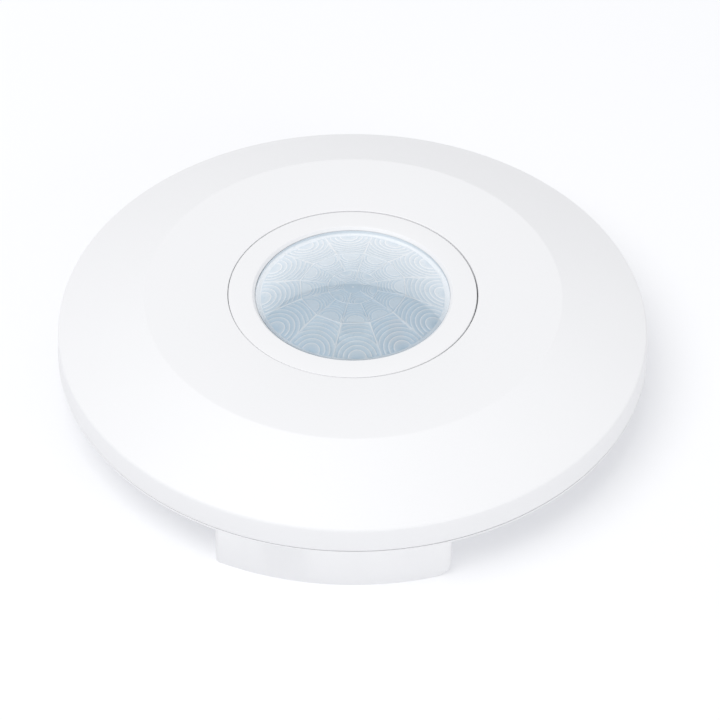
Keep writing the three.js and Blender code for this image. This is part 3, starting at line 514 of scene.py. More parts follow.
class Recipe(Graph):
    """A Geometry Nodes tree with named inputs, which grows pieces from a mesh of points."""

    KINDS = {"float": "NodeSocketFloat", "int": "NodeSocketInt", "material": "NodeSocketMaterial"}

    def __init__(self, name, inputs):
        tree = bpy.data.node_groups.new(name, "GeometryNodeTree")
        tree.is_modifier = True
        tree.interface.new_socket("Geometry", in_out="INPUT", socket_type="NodeSocketGeometry")
        for label, kind in inputs.items():
            tree.interface.new_socket(label, in_out="INPUT", socket_type=self.KINDS[kind])
        tree.interface.new_socket("Geometry", in_out="OUTPUT", socket_type="NodeSocketGeometry")
        super().__init__(tree)
        self.group_input = tree.nodes.new("NodeGroupInput")
        self.group_output = tree.nodes.new("NodeGroupOutput")

    def given(self, label):
        return Wire(self, self.group_input.outputs[label])

    def vector(self, x=0.0, y=0.0, z=0.0):
        return self.add("ShaderNodeCombineXYZ", None, {"X": x, "Y": y, "Z": z})

    def moved(self, shape, z):
        return self.add("GeometryNodeTransform", None, {"Geometry": shape, "Translation": self.vector(z=z)})

    def set_out(self, points, shape, extra=None):
        """Puts the shape on every point as a real mesh with the given finish, and ends the tree."""
        inputs = {"Points": points, "Instance": shape, **(extra or {})}
        copies = self.add("GeometryNodeInstanceOnPoints", None, inputs)
        real = self.add("GeometryNodeRealizeInstances", None, {"Geometry": copies})
        inputs = {"Geometry": real, "Material": self.given("Finish")}
        self.feed(self.group_output.inputs["Geometry"], self.add("GeometryNodeSetMaterial", None, inputs))


def grown(name, recipe, points, values):
    """A piece that a recipe grows on points given in millimetres."""
    mesh = bpy.data.meshes.new(name)
    mesh.from_pydata([Vector(point) * MM for point in points], [], [])
    made = bpy.data.objects.new(name, mesh)
    scene.collection.objects.link(made)
    modifier = made.modifiers.new("recipe", "NODES")
    modifier.node_group = recipe.tree
    for item in recipe.tree.interface.items_tree:
        if item.in_out == "INPUT" and item.name in values:
            modifier[item.identifier] = values[item.name]
    return settled(made)


def rib_recipe():
    """Bars that point outwards from the axis, one on each point of a circle."""
    sizes = {label: "float" for label in ("Length", "Thickness", "Height")}
    recipe = Recipe("flange_rib_recipe", {**sizes, "Finish": "material"})
    bar = recipe.add("GeometryNodeMeshCube", None, {
        "Size": recipe.vector(recipe.given("Length"), recipe.given("Thickness"), recipe.given("Height")),
    })
    position = recipe.add("GeometryNodeInputPosition")
    outwards = recipe.add("ShaderNodeVectorMath", {"operation": "MULTIPLY"}, {0: position, 1: (1, 1, 0)})
    facing = recipe.add("FunctionNodeAlignRotationToVector", {"axis": "X"}, {"Vector": outwards})
    recipe.set_out(recipe.given("Geometry"), bar, {"Rotation": facing})
    return recipe


rib_angles = [(k + 0.5) * 360 / RIB_COUNT for k in range(RIB_COUNT)]
rib_middle = sum(RIB_REACH) / 2
rib_spots = [(*on_circle(rib_middle, angle), sum(RIB_HEIGHT) / 2) for angle in rib_angles]
ribs = grown("flange_ribs", rib_recipe(), [spot for spot in rib_spots if spot[1] > CHAMBER_ZONE], {
    "Length": (RIB_REACH[1] - RIB_REACH[0]) * MM,
    "Thickness": RIB_THICKNESS * MM,
    "Height": (RIB_HEIGHT[1] - RIB_HEIGHT[0]) * MM,
    "Finish": white,
})
fitted(softened(ribs, 0.1), "base", "white_plastic")


# ---------- Cable grommet ----------
# Grey rubber, pressed into the window in the tub's wall. Each pole's wire is pushed
# through its thin middle, so the membrane seals round it.
def dressed(material, *nodes):
    """Gives pieces that keep their CAD shape a finish."""
    for node in nodes:
        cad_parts[node].material_slots[0].material = material


def moulded(name, dark, light, shine, grain=0.0004, fixed=None):
    """A moulded or coated surface: slow mottling between two colours over a fine grain."""
    finish = Finish(name, {"IOR": 1.5, **(fixed or {})})
    finish.colour(finish.blend(finish.noise(0.006, 3.0), dark, light))
    speckle = finish.noise(grain, 3.0, 0.6)
    finish.roughness(finish.ramp(speckle, (0.3, shine[0]), (0.7, shine[1])))
    finish.relief(speckle, 0.00002, 0.5)
    return finish.material


rubber = moulded("grey_rubber", (0.30, 0.31, 0.32), (0.36, 0.37, 0.38), (0.7, 0.9), 0.0006)
dressed(rubber, "cable_grommet")


# ---------- Circuit board ----------
# Glass-fibre board under a dark blue lacquer that lets the copper tracks show faintly.
# It rests on posts in the tub and is notched for the wells, the bosses and the wires.
TRACK_CELLS = 260.0


def lacquered_board():
    finish = Finish("lacquered_board", {"IOR": 1.5, "Coat Weight": 0.25, "Coat Roughness": 0.2})
    cells = {"Vector": finish.place, "Scale": TRACK_CELLS}
    edges = finish.add("ShaderNodeTexVoronoi", {"feature": "DISTANCE_TO_EDGE"}, cells, "Distance")
    tracks = finish.ramp(edges, (0.10, 1.0), (0.13, 0.0))
    weave = finish.noise(0.0009, 2.0)
    lacquer = finish.blend(weave, (0.030, 0.075, 0.145), (0.040, 0.090, 0.165))
    finish.colour(finish.blend(tracks, lacquer, (0.060, 0.130, 0.215)))
    finish.roughness(finish.ramp(weave, (0.3, 0.38), (0.7, 0.5)))
    finish.relief(tracks * 0.8 + weave * 0.2, 0.00005, 0.6)
    return finish.material


dressed(lacquered_board(), "circuit_board")


# ---------- Components on the board ----------
# Bought-in parts soldered through the board: the pyroelectric sensor's tinned can on its
# spacer, dipped, moulded and sleeved parts, an LED and a light sensor of clear epoxy.
def metal(name, dark, light, shine, scale=0.0006):
    """Bare or plated metal with fine handling marks."""
    finish = Finish(name, {"Metallic": 1.0})
    marks = finish.noise(scale, 4.0, 0.65)
    finish.colour(finish.blend(finish.noise(0.004), dark, light))
    finish.roughness(finish.ramp(marks, (0.3, shine[0]), (0.7, shine[1])))
    finish.relief(marks, 0.00001, 0.4)
    return finish.material


black_epoxy = moulded("black_epoxy", (0.011, 0.012, 0.014), (0.019, 0.020, 0.023), (0.4, 0.55))
tinned_steel = metal("tinned_steel", (0.50, 0.51, 0.53), (0.60, 0.61, 0.63), (0.22, 0.36))
dressed(metal("sensor_can_nickel", (0.27, 0.29, 0.31), (0.33, 0.35, 0.37), (0.5, 0.6)), "pir_can")
dressed(black_epoxy, "pir_spacer", "control_chip", "bridge_rectifier", "driver_transistor", "fuse")
dressed(
    moulded("filter_window", (0.030, 0.035, 0.050), (0.042, 0.048, 0.066), (0.08, 0.14), 0.001,
            {"Coat Weight": 0.5}),
    "pir_window",
)
dressed(
    moulded("capacitor_sleeve", (0.014, 0.015, 0.019), (0.022, 0.023, 0.028), (0.25, 0.36), 0.001),
    "smoothing_capacitor",
)
dressed(
    moulded("film_capacitor_box", (0.62, 0.43, 0.050), (0.68, 0.48, 0.065), (0.35, 0.5)),
    "mains_capacitor",
)
dressed(
    moulded("dipped_varistor", (0.022, 0.095, 0.33), (0.030, 0.120, 0.39), (0.2, 0.34), 0.0008),
    "surge_varistor",
)
dressed(
    moulded("resistor_lacquer", (0.56, 0.30, 0.12), (0.62, 0.35, 0.15), (0.22, 0.34), 0.0008),
    "dropper_resistor",
)
dressed(
    moulded("clear_sensor_epoxy", (0.13, 0.16, 0.19), (0.16, 0.19, 0.22), (0.2, 0.3), 0.001),
    "light_sensor",
)
dressed(
    moulded("smoked_led_epoxy", (0.15, 0.10, 0.12), (0.18, 0.12, 0.14), (0.12, 0.2), 0.001),
    "status_led",
)


# ---------- Relay ----------
# A blue moulded case over a steel frame and a copper-wound coil. The sprung armature
# rocks on the frame's yoke when the coil pulls it.
WIRE_ROWS = 1200.0


def copper_winding():
    """Enamelled wire laid in rows round the coil."""
    finish = Finish("copper_winding", {"Metallic": 1.0})
    turns = {"Vector": finish.place, "Scale": WIRE_ROWS}
    rows = finish.add("ShaderNodeTexWave", {"bands_direction": "Z"}, turns, "Fac")
    finish.colour(finish.blend(rows, (0.34, 0.12, 0.045), (0.62, 0.27, 0.12)))
    finish.roughness(finish.ramp(rows, (0.0, 0.5), (1.0, 0.3)))
    finish.relief(rows, 0.0001)
    return finish.material


blue_case = moulded("blue_case", (0.028, 0.105, 0.33), (0.036, 0.125, 0.38), (0.35, 0.48))
dressed(blue_case, "relay_case")
dressed(tinned_steel, "relay_frame", "relay_armature")
dressed(copper_winding(), "relay_coil")


# ---------- Trimmers and adjusters ----------
# Three blue trimmers, each turned from outside by an orange slotted adjuster: range at
# the left, hold time in the middle, light level at the right.
ADJUSTER_CIRCLE = 34.0
ADJUSTER_ANGLES = {"sensitivity": 116, "time": 90, "light": 64}
ADJUSTER_FOOT = 6.8
ADJUSTER_NECK = 10.6
ADJUSTER_TOP = 18.8
ADJUSTER_HEAD = 3.0
ADJUSTER_SHAFT = 1.5

orange_nylon = moulded("orange_nylon", (0.60, 0.22, 0.045), (0.66, 0.26, 0.06), (0.4, 0.52))
dressed(blue_case, *(f"{name}_trimmer" for name in ADJUSTER_ANGLES))


def adjuster(name, angle):
    """A headed shaft with a driver slot, and a pointer notch towards the disc's edge."""
    made = turned(name, [
        (0, ADJUSTER_FOOT), (ADJUSTER_SHAFT, ADJUSTER_FOOT), (ADJUSTER_SHAFT, ADJUSTER_NECK),
        (ADJUSTER_HEAD, ADJUSTER_NECK, 0.15), (ADJUSTER_HEAD, ADJUSTER_TOP, 0.35), (0, ADJUSTER_TOP),
    ], 64, on_circle(ADJUSTER_CIRCLE, angle))
    slot_radii = about(ADJUSTER_CIRCLE, 2 * ADJUSTER_HEAD - 1.4)
    notch_radii = (ADJUSTER_CIRCLE + ADJUSTER_HEAD - 0.75, ADJUSTER_CIRCLE + ADJUSTER_HEAD + 1)
    shaped(made, "DIFFERENCE", [
        spoke("slot", angle, slot_radii, 0.9, (ADJUSTER_TOP - 1.2, ADJUSTER_TOP + 1)),
        spoke("notch", angle, notch_radii, 0.5, (ADJUSTER_TOP - 0.4, ADJUSTER_TOP + 1)),
    ])
    return softened(made, 0.06)


for setting, angle in ADJUSTER_ANGLES.items():
    knob = adjuster(f"{setting}_knob", angle)
    knob.data.materials.clear()
    knob.data.materials.append(orange_nylon)
    fitted(knob, f"{setting}_adjuster", "orange_plastic", f"{setting}_adjuster")


# ---------- Terminal block ----------
# A blue housing of three poles. In each, a slotted screw lifts a brass cage that
# presses the wire against a fixed contact.
POLES = {"line": -5.08, "neutral": 0.0, "load": 5.08}
CLAMP_Y = -30.2
CLAMP_FOOT = 10.4
CLAMP_NECK = 13.0
CLAMP_TOP = 14.5
CLAMP_TIP = 0.75
CLAMP_SHANK = 1.1
CLAMP_HEAD = 1.8

brass = metal("plated_brass", (0.62, 0.45, 0.17), (0.70, 0.52, 0.22), (0.26, 0.4))
dressed(blue_case, "terminal_housing")
dressed(brass, *(f"{pole}_{name}" for pole in POLES for name in ("clamp_cage", "contact")))
for pole, x in POLES.items():
    clamp = turned(f"{pole}_clamp_screw_fine", [
        (0, CLAMP_FOOT), (CLAMP_TIP, CLAMP_FOOT), (CLAMP_SHANK, CLAMP_FOOT + 0.5), (CLAMP_SHANK, CLAMP_NECK),
        (CLAMP_HEAD, CLAMP_NECK, 0.1), (CLAMP_HEAD, CLAMP_TOP, 0.25), (0, CLAMP_TOP),
    ], 40, (x, CLAMP_Y))
    slot = block("slot", about(x, 0.6), about(CLAMP_Y, 4.6), (CLAMP_TOP - 0.8, CLAMP_TOP + 1))
    shaped(clamp, "DIFFERENCE", [slot])
    clamp.data.materials.clear()
    clamp.data.materials.append(tinned_steel)
    fitted(clamp, f"{pole}_screw", "steel", f"{pole}_clamp_screw")


# ---------- Light tunnel ----------
# A white tube that stands on the board round the sensor and holds stray light and draughts off it. Its wall
# carries a painted glow, brightest at its top and dark at its foot, in place of the light that the milky
# lens scatters onto it.
TUNNEL = 21.6
TUNNEL_WALL = 1.2
TUNNEL_HEIGHT = (5.5, 19.1)
PAINTED_GLOW_TOP = (0.72, 0.66, 0.62)
PAINTED_GLOW_FOOT = (0.04, 0.04, 0.04)


def lit_tunnel():
    """Matt white, with a painted glow down its wall in place of the light that the lens scatters: dark at
    the foot, brightest at the top.
    """
    finish = Finish("lit_tunnel", {"Emission Strength": 1.0, "Specular IOR Level": 0.2})
    height = finish.add("ShaderNodeSeparateXYZ", None, {"Vector": finish.place}, "Z")
    low, high = (edge * MM for edge in TUNNEL_HEIGHT)
    share = (height - low) / (high - low)
    # Painted glow: the emission colour runs from near black at the wall's foot to warm white at its top,
    # standing in for scattered light.
    finish.feed(finish.shader.inputs["Emission Color"], finish.blend(share, PAINTED_GLOW_FOOT, PAINTED_GLOW_TOP))
    grain = finish.noise(0.0004, 3.0, 0.6)
    finish.colour(finish.blend(grain, (0.80, 0.80, 0.81), (0.84, 0.84, 0.85)))
    finish.roughness(finish.ramp(grain, (0.3, 0.55), (0.7, 0.7)))
    return finish.material


tunnel = tube("light_tunnel_tube", TUNNEL, TUNNEL - TUNNEL_WALL, *TUNNEL_HEIGHT)
tunnel.data.materials.append(lit_tunnel())
fitted(tunnel, "base", "white_plastic", "light_tunnel")


# ---------- Inner cover ----------
# The white cover over the live parts. It drops into the tub's mouth, and has a recess
# for each screw, holes for the adjusters and the wells, and an opening on the terminals.
DRUM_TOP = 19.2
RING_CLEAR = 24.1
DRUM_SKIN = 1.4
DRUM_CREST = 42.0
DRUM_BROW = 17.2
DRUM_SEAT = 10.3
CUP = 4.0
CUP_FLOOR = 16.0
BAY_X = (-9.42, 9.42)
BAY_Y = (-41.4, -25.3)
KERB = 1.2
KERB_HEIGHT = (14.8, 18.5)


def inner_cover():
    lip = TUB_BORE - DRUM_SKIN
    inside = TUB - DRUM_SKIN
    drum_cover = turned("inner_cover_drum", [
        (RING_CLEAR, DRUM_TOP, 0.2), (DRUM_CREST, DRUM_TOP, 0.5), (TUB, DRUM_BROW, 0.5),
        (TUB, DRUM_SEAT, 0.15), (TUB_BORE - 0.3, DRUM_SEAT), (TUB_BORE - 0.3, FLANGE_LOW),
        (lip, FLANGE_LOW), (lip, DRUM_SEAT + 0.6), (inside, DRUM_SEAT + 1.6),
        (inside, DRUM_BROW - 0.6), (DRUM_CREST - 0.6, DRUM_TOP - DRUM_SKIN),
        (RING_CLEAR, DRUM_TOP - DRUM_SKIN),
    ])
    spots = [on_circle(SCREW_CIRCLE, angle) for angle in HOUSING_SCREW_ANGLES]
    shaped(drum_cover, "UNION", [drum("cup", CUP, CUP_FLOOR, DRUM_TOP - 0.5, spot) for spot in spots])
    through = (DRUM_TOP - 3, DRUM_TOP + 1)
    cuts = [drum("cup_room", CUP - 0.9, CUP_FLOOR + 1.2, DRUM_TOP + 1, spot) for spot in spots]
    cuts += [drum("screw_hole", 1.4, CUP_FLOOR - 1, DRUM_TOP, spot, 24) for spot in spots]
    for angle in ADJUSTER_ANGLES.values():
        cuts.append(drum("adjuster_hole", ADJUSTER_HEAD + 0.4, *through, on_circle(ADJUSTER_CIRCLE, angle)))
    for x in (-FIXING_X, FIXING_X):
        cuts.append(drum("well_hole", WELL_BORE + 0.4, *through, (x, 0)))
    cuts.append(block("bay", BAY_X, BAY_Y, through, soft=0.4))
    shaped(drum_cover, "DIFFERENCE", cuts)
    sides = ((BAY_X[0] - KERB, BAY_X[0]), (BAY_X[1], BAY_X[1] + KERB))
    kerbs = [block("kerb", side, (BAY_Y[0] + 1, BAY_Y[1]), KERB_HEIGHT) for side in sides]
    return softened(shaped(drum_cover, "UNION", kerbs), 0.1)


live_cover = inner_cover()
live_cover.data.materials.clear()
live_cover.data.materials.append(white)
fitted(live_cover, "base", "white_plastic", "inner_cover")


# ---------- Screws ----------
# Zinc-plated pan-head screws with a cross recess: four long ones through the inner
# cover into the tub's bosses, and two short ones that hold the board.
HOUSING_SCREW = {"Head radius": 2.6, "Head height": 1.5, "Shank radius": 1.1, "Length": 8.0}
BOARD_SCREW = {"Head radius": 2.2, "Head height": 1.3, "Shank radius": 1.0, "Length": 2.6}
BOARD_SCREW_CIRCLE = 16.6
BOARD_SCREW_ANGLES = {"left": 212.7, "right": -32.7}
HOUSING_SCREW_ENDS = ("front_left", "front_right", "rear_right", "rear_left")
HOUSING_SEAT = 17.25
BOARD_SEAT = 5.25


def screw_recipe():
    """A chamfered head with a cross cut in it, on a plain shank, at each point given."""
    sizes = {label: "float" for label in HOUSING_SCREW}
    recipe = Recipe("cross_screw_recipe", {**sizes, "Finish": "material"})
    head, height = recipe.given("Head radius"), recipe.given("Head height")
    shank, length = recipe.given("Shank radius"), recipe.given("Length")
    rim = recipe.add("GeometryNodeMeshCylinder", None, {
        "Vertices": 32, "Radius": head, "Depth": height * 0.6,
    })
    crown = recipe.add("GeometryNodeMeshCone", None, {
        "Vertices": 32, "Radius Top": head * 0.74, "Radius Bottom": head * 0.999, "Depth": height * 0.45,
    })
    stem = recipe.add("GeometryNodeMeshCylinder", None, {"Vertices": 24, "Radius": shank, "Depth": length})
    whole = recipe.add("GeometryNodeMeshBoolean", {"operation": "UNION"}, {"Mesh 2": [
        recipe.moved(rim, height * 0.3),
        recipe.moved(crown, height * 0.55),
        recipe.moved(stem, height * 0.1 - length * 0.5),
    ]})
    arm, groove = head * 1.4, head * 0.27
    bars = [
        recipe.add("GeometryNodeMeshCube", None, {"Size": recipe.vector(arm, groove, height * 1.4)}),
        recipe.add("GeometryNodeMeshCube", None, {"Size": recipe.vector(groove, arm, height * 1.4)}),
    ]
    cross = [recipe.moved(bar, height) for bar in bars]
    parts = {"Mesh 1": whole, "Mesh 2": cross}
    screw = recipe.add("GeometryNodeMeshBoolean", {"operation": "DIFFERENCE"}, parts)
    recipe.set_out(recipe.given("Geometry"), screw)
    return recipe


zinc = metal("zinc_plate", (0.46, 0.47, 0.50), (0.55, 0.56, 0.58), (0.28, 0.42))
cross_screw = screw_recipe()


def screw_set(name, spots, seat, sizes, nodes):
    """All the screws of one size, standing with their heads' undersides at the seat's height."""
    values = {label: size * MM for label, size in sizes.items()}
    screws = grown(name, cross_screw, [(*spot, seat) for spot in spots], {**values, "Finish": zinc})
    fitted(screws, "base", "steel", *nodes)


housing_spots = [on_circle(SCREW_CIRCLE, angle) for angle in HOUSING_SCREW_ANGLES]
housing_nodes = [f"housing_screw_{end}" for end in HOUSING_SCREW_ENDS]
screw_set("housing_screws", housing_spots, HOUSING_SEAT, HOUSING_SCREW, housing_nodes)
board_screw_spots = [on_circle(BOARD_SCREW_CIRCLE, angle) for angle in BOARD_SCREW_ANGLES.values()]
board_screw_nodes = [f"board_screw_{side}" for side in BOARD_SCREW_ANGLES]
screw_set("board_screws", board_screw_spots, BOARD_SEAT, BOARD_SCREW, board_screw_nodes)


# ---------- Fresnel lens ----------
# Thin translucent polyethylene, pressed with rings of small lenses: six round the middle
# spot, twelve out to a twelve-sided shoulder and twelve long flat ones below it.
# Each small lens has its own grooves, struck about a focus near its outer edge.
CROWN = 22.8
SHOULDER = 22.55
BORDER = 20.2
LENS_SKIN = 0.8
APERTURE = 19.7
BORDER_PALENESS = 0.45
LENS_EDGE = 22.5
SPOT = 1.9
INNER_CIRCLE = 5.05
CORNER = 10.8
APOTHEM = CORNER * math.cos(math.radians(15))
OUTER_CIRCLE = 18.6
FIRST_SEAM = math.radians(21.6)
SEAM_HALF = 0.12
ZONE_SHRINK = 0.955
SEAM_RISE = 0.03
GROOVE = 0.07
CELL = math.radians(30)
LENS_MILKINESS = 0.64


def cell_angle(x, y, cell=CELL):
    """The angle from a cell's middle line, and that line's direction."""
    around = (math.atan2(y, x) - FIRST_SEAM) % cell
    return around - cell / 2, math.atan2(y, x) - around + cell / 2


def shoulder_radius(off_middle):
    return APOTHEM / math.cos(off_middle)


def crown_height(x, y):
    """The lens's outside before it is grooved: a flat middle and twelve flat facets."""
    radius = math.hypot(x, y)
    off_middle = cell_angle(x, y)[0]
    edge = shoulder_radius(off_middle)
    if radius <= INNER_CIRCLE:
        return CROWN
    if radius <= edge:
        return CROWN - (CROWN - SHOULDER) * (radius - INNER_CIRCLE) / (edge - INNER_CIRCLE)
    out = (radius * math.cos(off_middle) - APOTHEM) / (OUTER_CIRCLE - APOTHEM)
    return SHOULDER - (SHOULDER - BORDER - 0.1) * out


def groove_radii(first, step, limit):
    """Edges of the zones round a focus: each zone is a little narrower than the one inside it."""
    radii = [first]
    while radii[-1] + step < limit:
        radii.append(radii[-1] + step)
        step *= ZONE_SHRINK
    return radii


# Each ring of small lenses: cell angle, inner and outer edge, focus radius, groove radii and
# half the width of a ridge.
RINGS = (
    {"cell": 2 * CELL, "low": lambda off: SPOT, "high": lambda off: INNER_CIRCLE,
     "focus": 4.7, "grooves": groove_radii(1.25, 0.5, 3.2), "ridge": 0.08},
    {"cell": CELL, "low": lambda off: INNER_CIRCLE, "high": shoulder_radius,
     "focus": 10.1, "grooves": groove_radii(1.75, 0.66, 6.2), "ridge": 0.10},
    {"cell": CELL, "low": shoulder_radius, "high": lambda off: OUTER_CIRCLE,
     "focus": 18.3, "grooves": groove_radii(1.8, 1.05, 10.2), "ridge": 0.15},
)


def ring_at(x, y):
    """Which ring of small lenses a point lies in, or None for the middle spot and the border."""
    radius = math.hypot(x, y)
    off_middle = cell_angle(x, y)[0]
    for ring in RINGS:
        if ring["low"](off_middle) <= radius <= ring["high"](off_middle):
            return ring
    return None


def seam_distance(ring, x, y):
    """How far a point is from the nearest edge of its small lens."""
    radius = math.hypot(x, y)
    off_middle = cell_angle(x, y, ring["cell"])[0]
    off_facet = cell_angle(x, y)[0]
    to_side = radius * math.sin(ring["cell"] / 2 - abs(off_middle))
    return min(to_side, radius - ring["low"](off_facet), ring["high"](off_facet) - radius)


def focus_distance(ring, x, y):
    middle = cell_angle(x, y, ring["cell"])[1]
    return math.hypot(x - ring["focus"] * math.cos(middle), y - ring["focus"] * math.sin(middle))


def groove_profile(ring, distance):
    """(depth, lightness) of the sawtooth at a distance from the focus. Ridges are finer further out."""
    ridge = ring["ridge"]
    fade = 1 - 0.55 * min(1.0, distance / ring["grooves"][-1])
    inner = 0.0
    for groove in ring["grooves"]:
        if distance < groove - ridge:
            share = (distance - inner) / max(groove - ridge - inner, 1e-6)
            return -GROOVE * (1 - share), 0.35 * fade * share ** 3
        if distance < groove + ridge:
            near = 1 - abs(distance - groove) / ridge
            fall = max(0.0, (distance - groove) / ridge)
            return -GROOVE * fall, fade * max(near, 0.35 * (1 - fall))
        inner = groove + ridge
    return -GROOVE, 0.0


class Drawing:
    """Points and lines in plan, gathered before they are meshed together."""

    def __init__(self):
        self.points = []
        self.lines = []

    def path(self, points, closed=False):
        first = len(self.points)
        self.points.extend(points)
        last = len(self.points) - 1
        self.lines.extend((i, i + 1) for i in range(first, last))
        if closed:
            self.lines.append((last, first))
        return list(range(first, last + 1))


def circle(radius, steps, focus=(0, 0)):
    turn = 2 * math.pi / steps
    spots = [(radius * math.cos(k * turn), radius * math.sin(k * turn)) for k in range(steps)]
    return [Vector((x + focus[0], y + focus[1])) for x, y in spots]


def draw_grooves(drawing, ring, index):
    """One small lens's groove lines, kept inside its own seams."""
    middle = FIRST_SEAM + ring["cell"] * (index + 0.5)
    focus = (ring["focus"] * math.cos(middle), ring["focus"] * math.sin(middle))

    def inside(point):
        if math.cos(math.atan2(point.y, point.x) - middle) < math.cos(ring["cell"] / 2):
            return False
        return ring_at(*point) is ring and seam_distance(ring, *point) > SEAM_HALF + 0.02

    for groove in ring["grooves"]:
        for offset in (-ring["ridge"], 0, ring["ridge"]):
            run = []
            steps = max(24, int(2 * math.pi * groove / 0.55))
            spots = circle(groove + offset, steps, focus)
            for spot in spots + spots[:1]:
                if inside(spot):
                    run.append(spot)
                elif run:
                    drawing.path(run)
                    run = []
            if run:
                drawing.path(run)


def lens_surface():
    """The grooved outside as points, triangles and the order of its rim points."""
    drawing = Drawing()
    rim = drawing.path(circle(OUTER_CIRCLE, 180), closed=True)
    for offset in (-SEAM_HALF, 0, SEAM_HALF):
        drawing.path(circle(SPOT + offset, 32), closed=True)
        drawing.path(circle(INNER_CIRCLE + offset, 72), closed=True)
        corner = CORNER + offset / math.cos(CELL / 2)
        angles = [FIRST_SEAM + CELL * k for k in range(12)]
        drawing.path([corner * Vector((math.cos(a), math.sin(a))) for a in angles], closed=True)
    drawing.path(circle(OUTER_CIRCLE - SEAM_HALF, 180), closed=True)
    drawing.path(circle(0.28, 12), closed=True)
    drawing.path([Vector((0, 0)), Vector((0.05, 0))])
    for k in range(12):
        along = Vector((math.cos(FIRST_SEAM + CELL * k), math.sin(FIRST_SEAM + CELL * k)))
        across = Vector((-along.y, along.x))
        start = SPOT if k % 2 == 0 else INNER_CIRCLE
        for offset in (-SEAM_HALF, 0, SEAM_HALF):
            drawing.path([along * start + across * offset, along * (OUTER_CIRCLE - 0.001) + across * offset])
    for ring in RINGS:
        for index in range(round(2 * math.pi / ring["cell"])):
            draw_grooves(drawing, ring, index)
    points, _, faces, origins, _, _ = delaunay_2d_cdt(drawing.points, drawing.lines, [], 1, 1e-4)
    where = {source: i for i, sources in enumerate(origins) for source in sources}
    return points, faces, [where[i] for i in rim]


def lens_point(x, y):
    """(height, lightness) of the grooved outside at a place in plan."""
    base_height = crown_height(x, y)
    radius = math.hypot(x, y)
    ring = ring_at(x, y)
    if radius > OUTER_CIRCLE - 0.5 * SEAM_HALF:
        return base_height, BORDER_PALENESS
    if ring is None:
        return base_height, 1.0 if radius < 0.2 else 0.1
    seam = seam_distance(ring, x, y)
    depth, light = groove_profile(ring, focus_distance(ring, x, y))
    if seam < SEAM_HALF * 0.98:
        return base_height + SEAM_RISE, 0.8 * (1 - seam / SEAM_HALF)
    return base_height + depth, light


def fresnel_lens():
    points, faces, rim = lens_surface()
    shape = bmesh.new()
    light_layer = shape.verts.layers.float.new("lightness")
    top = []
    for x, y in points:
        height, light = lens_point(x, y)
        vertex = shape.verts.new(Vector((x, y, height)) * MM)
        vertex[light_layer] = light
        top.append(vertex)
    for face in faces:
        shape.faces.new([top[i] for i in face])
    ring = [top[i] for i in rim]
    underside = BORDER - LENS_SKIN
    for radius, height, below in (
        (OUTER_CIRCLE + 0.2, BORDER + 0.15, False),
        (OUTER_CIRCLE + 0.7, BORDER + 0.45, False),
        (APERTURE - 0.1, BORDER + 0.7, False),
        (APERTURE - 0.1, BORDER, False),
        (LENS_EDGE, BORDER, False),
        (LENS_EDGE, underside, False),
        (OUTER_CIRCLE - 0.6, underside, True),
        (CORNER - 0.3, SHOULDER - LENS_SKIN, True),
        (INNER_CIRCLE, CROWN - LENS_SKIN, True),
    ):
        after = [shape.verts.new((p.x * MM, p.y * MM, height * MM)) for p in circle(radius, len(rim))]
        for vertex in after:
            vertex[light_layer] = BORDER_PALENESS
        for k in range(len(rim)):
            face = shape.faces.new((ring[k - 1], ring[k], after[k], after[k - 1]))
            face.material_index = int(below)
        ring = after
    shape.faces.new(ring).material_index = 1
    made = piece("fresnel_lens_sheet", shape)
    smoothed(made.data, 12)
    return made


def milky_skin():
    """Milky polyethylene that lets the light tunnel show through, with paler ridges and seams."""
    finish = Finish("milky_skin", {"IOR": 1.5, "Alpha": LENS_MILKINESS, "Sheen Weight": 0.15})
    ridge = finish.add("ShaderNodeAttribute", {"attribute_name": "lightness"}, None, "Fac")
    skin = finish.blend(finish.noise(0.012), (0.50, 0.645, 0.765), (0.54, 0.685, 0.805))
    finish.colour(finish.blend(ridge * 0.95, skin, (0.97, 0.98, 0.99)))
    finish.roughness(finish.ramp(finish.noise(0.0006), (0.3, 0.26), (0.7, 0.34)))
    finish.relief(finish.noise(0.0008), 0.00001, 0.4)
    return finish.material


def clear_inside():
    """The lens's smooth underside, which adds hardly any haze of its own."""
    finish = Finish("clear_inside", {"Alpha": 0.06, "Specular IOR Level": 0.1})
    finish.colour(finish.blend(finish.noise(0.012), (0.64, 0.76, 0.86), (0.68, 0.80, 0.90)))
    return finish.material


lens = fresnel_lens()
lens.data.materials.append(milky_skin())
lens.data.materials.append(clear_inside())
fitted(lens, "base", "lens_plastic", "fresnel_lens")


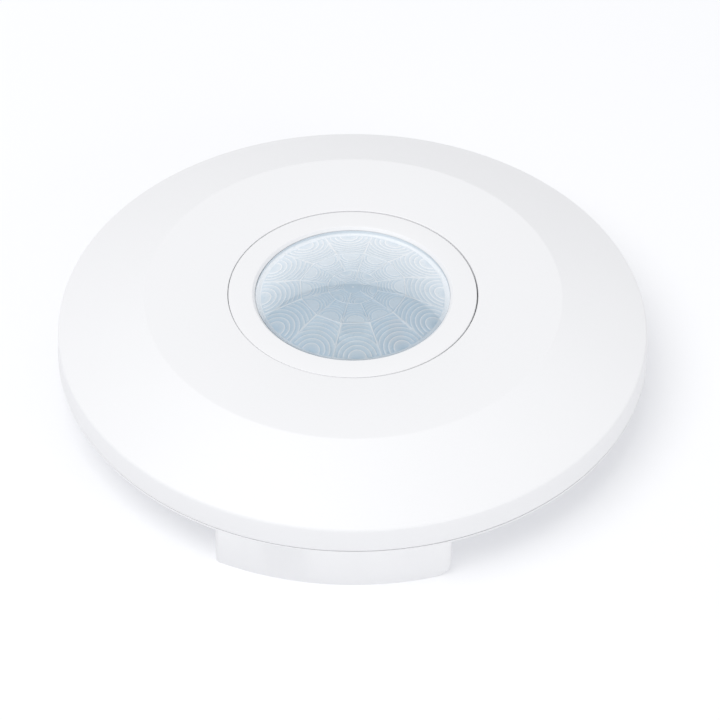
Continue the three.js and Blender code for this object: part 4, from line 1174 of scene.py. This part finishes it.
# ---------- Lens ring ----------
# A flat white ring that clamps the lens and stands level with the cover's face. Its
# skirt drops into the inner cover, and its inner edge is broken by a small chamfer.
RING = 25.05
RING_PLAY = (-0.07, 0.0)
RING_TOP = 21.5
RING_BORE = 22.8
RING_SKIRT = 23.8

lens_ring = turned("lens_ring", [
    (APERTURE, RING_TOP - 0.55, 0.12), (APERTURE + 0.55, RING_TOP, 0.3), (RING, RING_TOP, 0.2),
    (RING, 19.5), (RING_SKIRT, 19.5), (RING_SKIRT, 17), (RING_BORE, 17), (RING_BORE, 20.22),
    (APERTURE, 20.22),
], centre=RING_PLAY)
lens_ring.data.materials.append(white)
fitted(lens_ring, "base", "white_plastic", "lens_bezel")


# ---------- Outer cover ----------
# A white push-on shell: a flat face round the lens ring, a shallow cone out to the
# rounded rim and a short upright wall that lands in the flange's step with a hairline gap.
# Three hooks under it drop through windows in the flange.
FACE = 21.6
FACE_EDGE = 42.1
RIM_TOP = 14.6
COVER_FOOT = 9.34
COVER_HOLE = 25.23
SHELL = 1.8
HOOK_FOOT = 7.2
HOOK = (51.35, 52.65)
HOOK_BARB = 0.7


def front_cover():
    slope = (FACE - RIM_TOP) / (RIM - 0.4 - FACE_EDGE)
    shell = turned("cover_shell", [
        (COVER_HOLE, FACE, 0.2), (FACE_EDGE, FACE, 1.2), (RIM - 0.4, RIM_TOP, 0.8), (RIM, COVER_FOOT, 0.18),
        (RIM - WALL, COVER_FOOT), (RIM - WALL - 0.4, RIM_TOP - 1.25), (FACE_EDGE - 0.4, FACE - SHELL),
        (COVER_HOLE + WALL, FACE - SHELL), (COVER_HOLE + WALL, 19.5), (COVER_HOLE, 19.5),
    ])
    hooks = []
    top = FACE - (HOOK[1] - FACE_EDGE) * slope - SHELL + 0.6
    for angle in HOOK_ANGLES:
        hooks.append(spoke("hook", angle, HOOK, 6, (HOOK_FOOT, top), 0.2))
        barb = (HOOK[0] + 0.1, HOOK[1] + HOOK_BARB)
        hooks.append(spoke("barb", angle, barb, 5.9, (HOOK_FOOT + 0.01, HOOK_FOOT + 1)))
    return shaped(shell, "UNION", hooks)


cover = front_cover()
cover.data.materials.clear()
cover.data.materials.append(white)
fitted(cover, "cover", "white_plastic", "front_cover")
